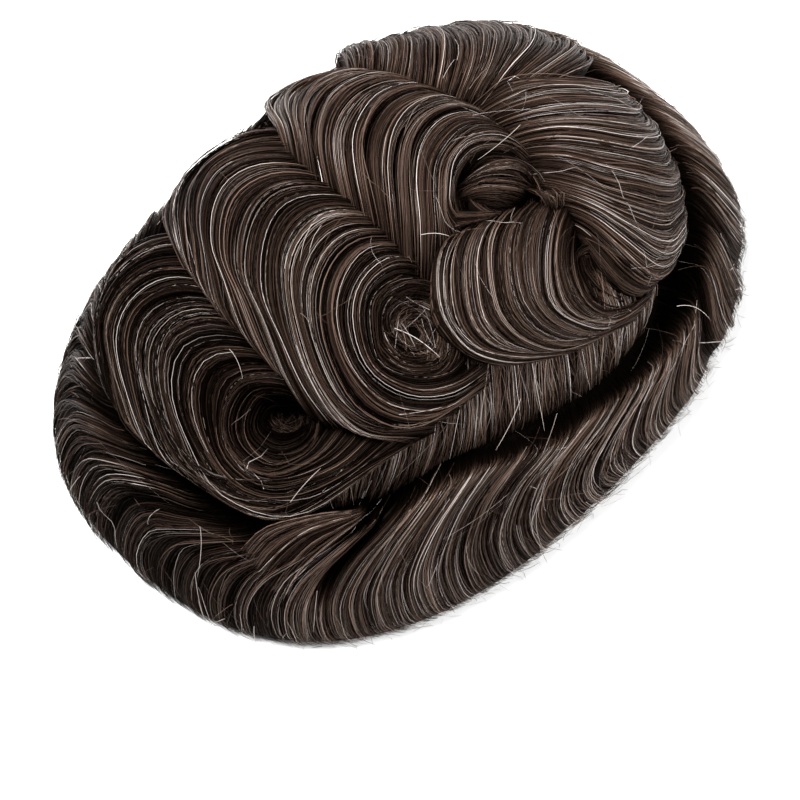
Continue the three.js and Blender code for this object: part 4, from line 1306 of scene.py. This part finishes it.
class WaveLock(LockOfHair):
    """A lock of the waves, shaped by its guides, which may wind into a curl with a low floor."""

    def __init__(self, node: str, guides: tuple, depths: tuple[float, ...], form: HairForm, comb: Comb,
                 tone: float, seed: int, floor: Floor | None = None) -> None:
        """Sets the wave up.

        Args:
            node: The frame's node that it stands for.
            guides: The strands that shape it.
            depths: Its depth at each of a guide's places.
            form: The hair's form.
            comb: How its strands are combed.
            tone: How much lighter it is than the rest.
            seed: The seed of its random numbers.
            floor: The floor of its curl.
        """
        self.guides = guides
        self.depths = depths
        self.floor = floor
        super().__init__(node, form, comb, tone, seed)

    def make_field(self) -> StrandField:
        """The field between the lock's guides."""
        return lock_field(self.guides, self.depths, self.form)

    def floor_spots(self, round_by: Array, out_by: Array) -> Array:
        """Spots on the curl's floor.

        Args:
            round_by: Angles round it, in radians.
            out_by: Shares of its reach.

        Returns:
            The spots, higher towards the rim.
        """
        floor = self.floor
        across = floor.place[0] + floor.reach[0] * out_by * np.cos(round_by)
        along = floor.place[1] + floor.reach[1] * out_by * np.sin(round_by)
        depth = floor.low + (floor.high - floor.low) * out_by ** FLOOR_CURVE
        return np.stack([across, along, depth], axis=-1)

    def add_extras(self) -> None:
        """Adds the mound under the curl's floor."""
        if self.floor is None:
            return
        steps = np.linspace(-1, 1, CURL_FLOOR_CELLS + 1)
        x, y = np.meshgrid(steps, steps, indexing="ij")
        u, v = x * np.sqrt(1 - y**2 / 2), y * np.sqrt(1 - x**2 / 2)
        spots = self.floor_spots(np.arctan2(v, u), np.hypot(u, v))
        top, _ = self.raised(spots, -BED_DROP, 2 * ROOT_CLEARANCE)
        maps = spots[..., :2] * self.form.base.half_width
        add_slab(self.parts, top, self.bed_bottom(spots, top), maps)

    def add_more_strands(self) -> None:
        """Adds the strands that wind round in the curl's hollow."""
        if self.floor is None:
            return
        rng = self.rng
        count = self.floor.swirl
        t = np.linspace(0, 1, FLOOR_RINGS)[None, :]
        out_from = np.sqrt(rng.uniform(0.04, 1.0, count))[:, None]
        out_by = out_from * (1 - self.floor.drawn_in * t * rng.uniform(0.3, 1.0, (count, 1)))
        turn = rng.random(count)[:, None] + t * rng.uniform(*self.floor.turns, count)[:, None]
        spots = self.floor_spots(2 * np.pi * turn, out_by)
        spots[..., :2] += rng.normal(0, 0.004, (count, 1, 2))
        lift = -1.2 * MM * rng.beta(1.0, 2.0, (count, 1)) + 0.8 * MM * (rng.random((count, 1)) < 0.1)
        lines, out = self.raised(spots, lift, ROOT_CLEARANCE)
        # Painted shade and light on the hollow's floor, by the reach from its middle
        tones = self.tones(rng.random(count), greys=FLOOR_GREYS)[:, None] * self.floor_shade(out_by)
        radii = self.radii(self.comb.radius * 0.9, count, FLOOR_RINGS)
        add_strands(self.parts, lines, out, radii, tones, self.tilts(count))
        self.add_chords()

    def floor_shade(self, out_by: Array) -> Array:
        """The painted shade and light on the curl's floor: what a strand's tone there is multiplied by,
        at each share of its reach.
        """
        return self.floor.tone + (1.0 - self.floor.tone) * out_by ** FLOOR_CURVE

    def add_chords(self) -> None:
        """Adds the short strands that lie crosswise over the curl's floor."""
        rng = self.rng
        count = self.floor.swirl // 4
        t = np.linspace(0, 1, CHORD_RINGS)[None, :]
        turn = rng.random((count, 1))
        other = turn + rng.uniform(0.1, 0.4, (count, 1)) * np.where(rng.random((count, 1)) < 0.7, 1, -1)
        reach = rng.uniform(0.2, 0.85, (2, count, 1))
        first = reach[0] * np.exp(2j * np.pi * turn)
        last = reach[1] * np.exp(2j * np.pi * other)
        path = first + (last - first) * t * (1 + 0.25j * rng.standard_normal((count, 1)) * (1 - t))
        spots = self.floor_spots(np.angle(path), np.abs(path))
        lines, out = self.raised(spots, (0.2 + 0.8 * rng.random((count, 1))) * MM, -math.inf)
        # Painted shade and light, as on the floor under the chords
        shade = 0.05 + self.floor_shade(np.abs(path))
        tones = self.tones(rng.random(count), greys=FLOOR_GREYS)[:, None] * shade
        radii = self.radii(self.comb.radius * 0.6, count, CHORD_RINGS)
        add_strands(self.parts, lines, out, radii, tones, self.tilts(count))


class RimLock(LockOfHair):
    """A stretch of the rolled edge, which the hairpiece rests on."""

    def __init__(self, node: str, start: float, end: float, form: HairForm, comb: Comb, tone: float,
                 seed: int) -> None:
        """Sets the stretch up.

        Args:
            node: The frame's node that it stands for.
            start: The turn where it begins.
            end: The turn where it ends.
            form: The hair's form.
            comb: How its strands are combed.
            tone: How much lighter it is than the rest.
            seed: The seed of its random numbers.
        """
        self.start = start
        self.end = end
        wisps = Flyaways(round((end - start) * WISPS_IN_A_TURN), (5 * MM, 13 * MM), 0.55, 4.5 * MM,
                         (0.78, 0.98), 0.05 * MM)
        super().__init__(node, form, comb, tone, seed, (Flyaways(46), CROSSING, wisps))

    def make_field(self) -> StrandField:
        """The field of the roll's strands, lower at the notches in the roll."""
        field = roll_field(self.start, self.end, self.form)
        turns = np.linspace(self.start, self.end, field.grid.shape[0])
        rows = np.linspace(0, 1, field.grid.shape[1])
        for notch in NOTCHES:
            away = (turns - notch.turn) / notch.width
            dip = notch.dip * np.exp(-away ** 2)[:, None] * np.interp(rows, *notch.along)[None, :]
            field.grid[..., 2] *= 1 - dip
        return field

    def relief_height(self) -> float:
        """The height of the roll's relief, less than the waves'."""
        return RIM_RELIEF_HEIGHT

    def shade(self, depth: Array, way: Array) -> Array:
        """The roll's painted shade: dark down in the groove, light from the crest outwards."""
        low = np.interp(depth, (0.45, 0.8, 0.95), (0.03, 0.35, 1.0))
        return low * np.interp(way, (0.95, 1.0), (1.0, 0.7))

    def bed_bottom(self, spots: Array, top: Array) -> Array:
        """The inner grid of the bed, whose last row ends in the flat sole that the roll rests on."""
        low = super().bed_bottom(spots, top)
        edge = top[:, -1]
        inward = edge * (1, 1, 0)
        inward /= np.linalg.norm(inward, axis=-1, keepdims=True)
        low[:, -1] = edge - inward * SOLE_WIDTH
        return low


class UnderLayer(LockOfHair):
    """The short straight hair under the curls, along the deep groove of the near side."""

    def shade(self, depth: Array, way: Array) -> Array:
        """The layer's painted shade: darkest where it goes down into the groove, with a little painted
        light past its middle.
        """
        along = np.interp(way, (0.0, 0.3, 0.65, 0.88, 0.98), (0.8, 1.0, 1.1, 0.9, 0.1))
        return along * np.interp(depth, (0.08, 0.3), (0.1, 1.0))

    def relief_height(self) -> float:
        """The height of the layer's relief, the least of all."""
        return UNDER_RELIEF_HEIGHT

    def make_field(self) -> StrandField:
        """The field between the layer's guides."""
        return lock_field(UNDER_LAYER_GUIDES, UNDER_LAYER_DEPTHS, self.form, 1.6, 0.9)


class HairPart(Enum):
    """The two kinds of surface on a piece of hair."""

    STRAND = 0
    BED = 1


@dataclass(frozen=True)
class HairFinish:
    """The hair's finish: brown strands of many tones with greys among them, their tone carrying painted
    shade.
    """

    roughness: float = 0.4
    specular: float = 0.15
    sheen_colour: tuple = (1.0, 0.72, 0.52, 1.0)
    # The darkest stops are reached mostly through the painted shade in the tone
    stops: tuple = (
        (0.0, (0.0006, 0.0004, 0.0003)),
        (0.18, (0.0016, 0.0009, 0.0006)),
        (0.35, (0.0105, 0.0058, 0.0042)),
        (0.6, (0.048, 0.0288, 0.0218)),
        (0.76, (0.12, 0.079, 0.061)),
        (0.8, (0.2, 0.163, 0.143)),
        (1.0, (0.62, 0.57, 0.55)),
    )
    # The beds' colours are painted shade: near black, for the deep hair in shadow under the strands
    bed_shade_dark: tuple = (0.0008, 0.0006, 0.0005)
    bed_shade_light: tuple = (0.003, 0.0021, 0.0016)
    bed_roughness: float = 0.55
    bed_specular: float = 0.01
    bed_relief: float = 0.3 * MM

    def strand(self) -> bpy.types.Material:
        """The finish of the strands."""
        material, shader = new_material("hair_strand")
        tree = material.node_tree
        tone = tree.nodes.new("ShaderNodeAttribute")
        tone.attribute_name = "tone"
        ramp = tree.nodes.new("ShaderNodeValToRGB")
        set_stops(ramp, self.stops)
        tree.links.new(tone.outputs["Fac"], ramp.inputs["Fac"])
        tree.links.new(ramp.outputs["Color"], shader.inputs["Base Color"])
        # The specular level follows the tone, so the painted shade dims the reflection as well
        sheen = tree.nodes.new("ShaderNodeMath")
        sheen.operation = "MULTIPLY"
        sheen.inputs[1].default_value = self.specular
        tree.links.new(tone.outputs["Fac"], sheen.inputs[0])
        tree.links.new(sheen.outputs["Value"], shader.inputs["Specular IOR Level"])
        shader.inputs["Roughness"].default_value = self.roughness
        shader.inputs["Specular Tint"].default_value = self.sheen_colour
        return material

    def bed(self, group: bpy.types.NodeTree) -> bpy.types.Material:
        """The finish of the beds, with fine strands drawn along them, painted near black as painted
        shade.

        Args:
            group: The node group of fine strands.

        Returns:
            The material.
        """
        material, shader = new_material("hair_bed_painted_shade")
        tree = material.node_tree
        fine = tree.nodes.new("ShaderNodeGroup")
        fine.node_tree = group
        ramp = tree.nodes.new("ShaderNodeValToRGB")
        set_stops(ramp, ((0.3, self.bed_shade_dark), (0.72, self.bed_shade_light)))
        bump = tree.nodes.new("ShaderNodeBump")
        bump.inputs["Strength"].default_value = 0.9
        bump.inputs["Distance"].default_value = self.bed_relief
        tree.links.new(fine.outputs["Strands"], ramp.inputs["Fac"])
        tree.links.new(ramp.outputs["Color"], shader.inputs["Base Color"])
        tree.links.new(fine.outputs["Strands"], bump.inputs["Height"])
        tree.links.new(bump.outputs["Normal"], shader.inputs["Normal"])
        shader.inputs["Roughness"].default_value = self.bed_roughness
        shader.inputs["Specular IOR Level"].default_value = self.bed_specular
        shader.inputs["Specular Tint"].default_value = self.sheen_colour
        return material


@dataclass(frozen=True)
class NetFinish:
    """The base's finish: a fine brown net on a thin skin."""

    mesh_size: float = 1.1 * MM
    relief: float = 0.2 * MM
    roughness: float = 0.75
    light: tuple = (0.16, 0.12, 0.09)
    dark: tuple = (0.035, 0.026, 0.02)

    def material(self) -> bpy.types.Material:
        """The finish of the base."""
        material, shader = new_material("base_net")
        tree = material.node_tree
        place = tree.nodes.new("ShaderNodeTexCoord")
        cells = tree.nodes.new("ShaderNodeTexVoronoi")
        cells.feature = "DISTANCE_TO_EDGE"
        cells.inputs["Scale"].default_value = 1 / self.mesh_size
        cells.inputs["Randomness"].default_value = 0.15
        ramp = tree.nodes.new("ShaderNodeValToRGB")
        set_stops(ramp, ((0.05, self.light), (0.16, self.dark)))
        bump = tree.nodes.new("ShaderNodeBump")
        bump.invert = True
        bump.inputs["Strength"].default_value = 0.6
        bump.inputs["Distance"].default_value = self.relief
        tree.links.new(place.outputs["Object"], cells.inputs["Vector"])
        tree.links.new(cells.outputs["Distance"], ramp.inputs["Fac"])
        tree.links.new(ramp.outputs["Color"], shader.inputs["Base Color"])
        tree.links.new(cells.outputs["Distance"], bump.inputs["Height"])
        tree.links.new(bump.outputs["Normal"], shader.inputs["Normal"])
        shader.inputs["Roughness"].default_value = self.roughness
        return material


def new_material(name: str) -> tuple[bpy.types.Material, bpy.types.Node]:
    """A new material.

    Args:
        name: Its name.

    Returns:
        The material and its shader node.
    """
    material = bpy.data.materials.new(name)
    material.use_nodes = True
    return material, material.node_tree.nodes["Principled BSDF"]


def set_stops(ramp: bpy.types.Node, stops: tuple) -> None:
    """Sets a colour ramp's stops.

    Args:
        ramp: The ramp's node.
        stops: Each stop's place and its colour.
    """
    elements = ramp.color_ramp.elements
    while len(elements) < len(stops):
        elements.new(1.0)
    for element, (place, colour) in zip(elements, stops):
        element.position = place
        element.color = (*colour, 1.0)


def fine_strand_group() -> bpy.types.NodeTree:
    """The node group of fine strands, drawn along a piece's map of its hair.

    Returns:
        The group, whose output Strands is the height of the strands, 0 to 1.
    """
    group = bpy.data.node_groups.new("fine_strands", "ShaderNodeTree")
    group.interface.new_socket("Strands", in_out="OUTPUT", socket_type="NodeSocketFloat")
    place = group.nodes.new("ShaderNodeUVMap")
    place.uv_map = "strands"
    mapping = group.nodes.new("ShaderNodeMapping")
    mapping.inputs["Scale"].default_value = (1 / FINE_STRAND_PITCH, 1 / FINE_STRAND_RUN, 1.0)
    noise = group.nodes.new("ShaderNodeTexNoise")
    noise.inputs["Scale"].default_value = 1.0
    noise.inputs["Detail"].default_value = 3.0
    noise.inputs["Roughness"].default_value = 0.6
    output = group.nodes.new("NodeGroupOutput")
    group.links.new(place.outputs["UV"], mapping.inputs["Vector"])
    group.links.new(mapping.outputs["Vector"], noise.inputs["Vector"])
    group.links.new(noise.outputs["Fac"], output.inputs["Strands"])
    return group


@dataclass(frozen=True)
class Studio:
    """The pale floor, the soft lights and the camera at the photograph's angle."""

    azimuth: float = math.radians(42)
    elevation: float = math.radians(58)
    # The photograph is this many pixels wide, and this many of them show a millimetre
    frame_pixels: float = 800.0
    pixels_in_a_millimetre: float = 3.06
    # The pixel of the photograph where the middle of the footprint falls
    origin_pixel: Pair = (402.0, 342.0)
    focal_length: float = 400.0
    sensor: float = 36.0
    floor_size: float = 6.0
    key_power: float = 72.0
    fill_power: float = 38.0
    room_light: float = 0.12

    def axes(self) -> tuple[Vector, Vector, Vector]:
        """The camera's right, up and back."""
        right = Vector((math.cos(self.azimuth), math.sin(self.azimuth), 0))
        back = Vector((math.sin(self.azimuth) * math.cos(self.elevation),
                       -math.cos(self.azimuth) * math.cos(self.elevation), math.sin(self.elevation)))
        return right, back.cross(right), back

    def add_camera(self) -> None:
        """Adds the camera, far off behind a long lens."""
        right, up, back = self.axes()
        metres = MM / self.pixels_in_a_millimetre
        middle = self.frame_pixels / 2
        aim = (right * (middle - self.origin_pixel[0]) * metres
               + up * (self.origin_pixel[1] - middle) * metres)
        width = self.frame_pixels * metres
        distance = width * self.focal_length / self.sensor
        data = bpy.data.cameras.new("camera")
        data.lens = self.focal_length
        data.sensor_width = self.sensor
        data.clip_end = 4 * distance
        camera = bpy.data.objects.new("camera", data)
        turned = Matrix((right, up, back)).transposed().to_4x4()
        camera.matrix_world = Matrix.Translation(aim + back * distance) @ turned
        bpy.context.scene.collection.objects.link(camera)
        bpy.context.scene.camera = camera

    def add_light(self, name: str, way: Vector, energy: float, size: float) -> None:
        """Adds a soft light that shines on the hairpiece.

        Args:
            name: Its name.
            way: Where it stands from the hairpiece, in metres.
            energy: Its power, in watts.
            size: The side of its square, in metres.
        """
        data = bpy.data.lights.new(name, "AREA")
        data.energy = energy
        data.size = size
        light = bpy.data.objects.new(name, data)
        light.location = way
        light.rotation_euler = way.to_track_quat("Z", "Y").to_euler()
        bpy.context.scene.collection.objects.link(light)

    def add_floor(self) -> None:
        """Adds the pale floor."""
        bpy.ops.object.select_all(action="DESELECT")
        bpy.ops.mesh.primitive_plane_add(size=self.floor_size)
        floor = bpy.context.object
        floor.name = "floor"
        material, shader = new_material("pale_floor")
        shader.inputs["Base Color"].default_value = (0.92, 0.92, 0.92, 1)
        shader.inputs["Roughness"].default_value = 0.9
        shader.inputs["Specular IOR Level"].default_value = 0.1
        floor.data.materials.append(material)

    def build(self) -> None:
        """Adds everything round the hairpiece."""
        right, up, back = self.axes()
        self.add_camera()
        self.add_light("key", back + up * 0.9 - right * 0.6, self.key_power, 0.7)
        self.add_light("fill", back + up * 0.1 + right * 1.2, self.fill_power, 0.8)
        self.add_floor()
        scene = bpy.context.scene
        scene.world = bpy.data.worlds.new("pale_room")
        scene.world.use_nodes = True
        background = scene.world.node_tree.nodes["Background"]
        background.inputs["Color"].default_value = (1, 1, 1, 1)
        background.inputs["Strength"].default_value = self.room_light
        scene.view_settings.view_transform = "Standard"


@dataclass
class Hairpiece:
    """The whole hairpiece: the base, the waves, the hair under them and the rolled edge."""

    nodes: dict
    form: HairForm = field(init=False)
    locks: list[LockOfHair] = field(init=False)

    def __post_init__(self) -> None:
        """Takes the form from the base and sets the locks up."""
        self.form = HairForm.round_base(*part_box("base_cap"))
        self.locks = [*self.waves(), self.under_layer(), *self.rims()]

    def waves(self) -> list[WaveLock]:
        """The locks of the waves, from the front to the back."""
        form = self.form
        return [
            WaveLock("front_curl", FRONT_CURL_GUIDES, FRONT_CURL_DEPTHS, form,
                     Comb(2100, 31), -0.19, 11, FRONT_FLOOR),
            WaveLock("middle_curl", MIDDLE_CURL_GUIDES, MIDDLE_CURL_DEPTHS, form,
                     Comb(2700, 31), -0.12, 12, MIDDLE_FLOOR),
            WaveLock("upper_curl", UPPER_CURL_GUIDES, UPPER_CURL_DEPTHS, form,
                     Comb(2000, 29), 0.02, 13, UPPER_FLOOR),
            WaveLock("crown_curl", CROWN_CURL_GUIDES, CROWN_CURL_DEPTHS, form,
                     Comb(1900, 25), 0.0, 14, CROWN_FLOOR),
            WaveLock("crown_sweep", CROWN_SWEEP_GUIDES, CROWN_SWEEP_DEPTHS, form,
                     Comb(2500, 29, end=0.95), 0.05, 15),
            WaveLock("far_wave", FAR_WAVE_GUIDES, FAR_WAVE_DEPTHS, form,
                     Comb(1600, 19), 0.04, 16),
        ]

    def under_layer(self) -> UnderLayer:
        """The short hair under the curls."""
        comb = Comb(1900, 11, radius=0.09 * MM, wander=2.6 * MM, loose=0.02, greys=0.8)
        return UnderLayer("under_layer", self.form, comb, 0.36, 17)

    def rims(self) -> list[RimLock]:
        """The stretches of the rolled edge."""
        form = self.form
        return [
            RimLock("rim_near_back", 0.005, 0.21, form, Comb(2000, 19, start=0.16, greys=1.3), 0.11, 18),
            RimLock("rim_back", 0.21, 0.4, form, Comb(1400, 19, start=0.16, greys=1.6), 0.3, 19),
            RimLock("rim_far_side", 0.4, 0.61, form, Comb(1500, 17, start=0.1), 0.0, 20),
            RimLock("rim_front", 0.61, 0.872, form, Comb(2500, 21, start=0.1), -0.13, 21),
            RimLock("rim_near_front", 0.872, 1.005, form, Comb(1700, 21, start=0.16, greys=1.2),
                    0.04, 22),
        ]

    def build(self) -> None:
        """Makes every piece and dresses it."""
        hair = HairFinish()
        finishes = {HairPart.STRAND: hair.strand(), HairPart.BED: hair.bed(fine_strand_group())}
        for lock in self.locks:
            piece = lock.build()
            for part in HairPart:
                piece.data.materials.append(finishes[part])
            triangles = sum(len(face.vertices) - 2 for face in piece.data.polygons)
            LOG.info("%s: %d triangles", piece.name, triangles)
        base = self.nodes["base_cap"]
        base.data.materials.clear()
        base.data.materials.append(NetFinish().material())


def corners(bounds: tuple) -> list[list[float]]:
    """Two corners as plain lists of numbers."""
    return [[float(value) for value in corner] for corner in bounds]


def main() -> None:
    """Builds the hairpiece around its frame and sets it in the studio."""
    logging.basicConfig(level=logging.INFO, format="%(name)s %(message)s")
    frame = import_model()
    Studio().build()
    Hairpiece(frame["nodes"]).build()


if __name__ == "__main__":
    main()
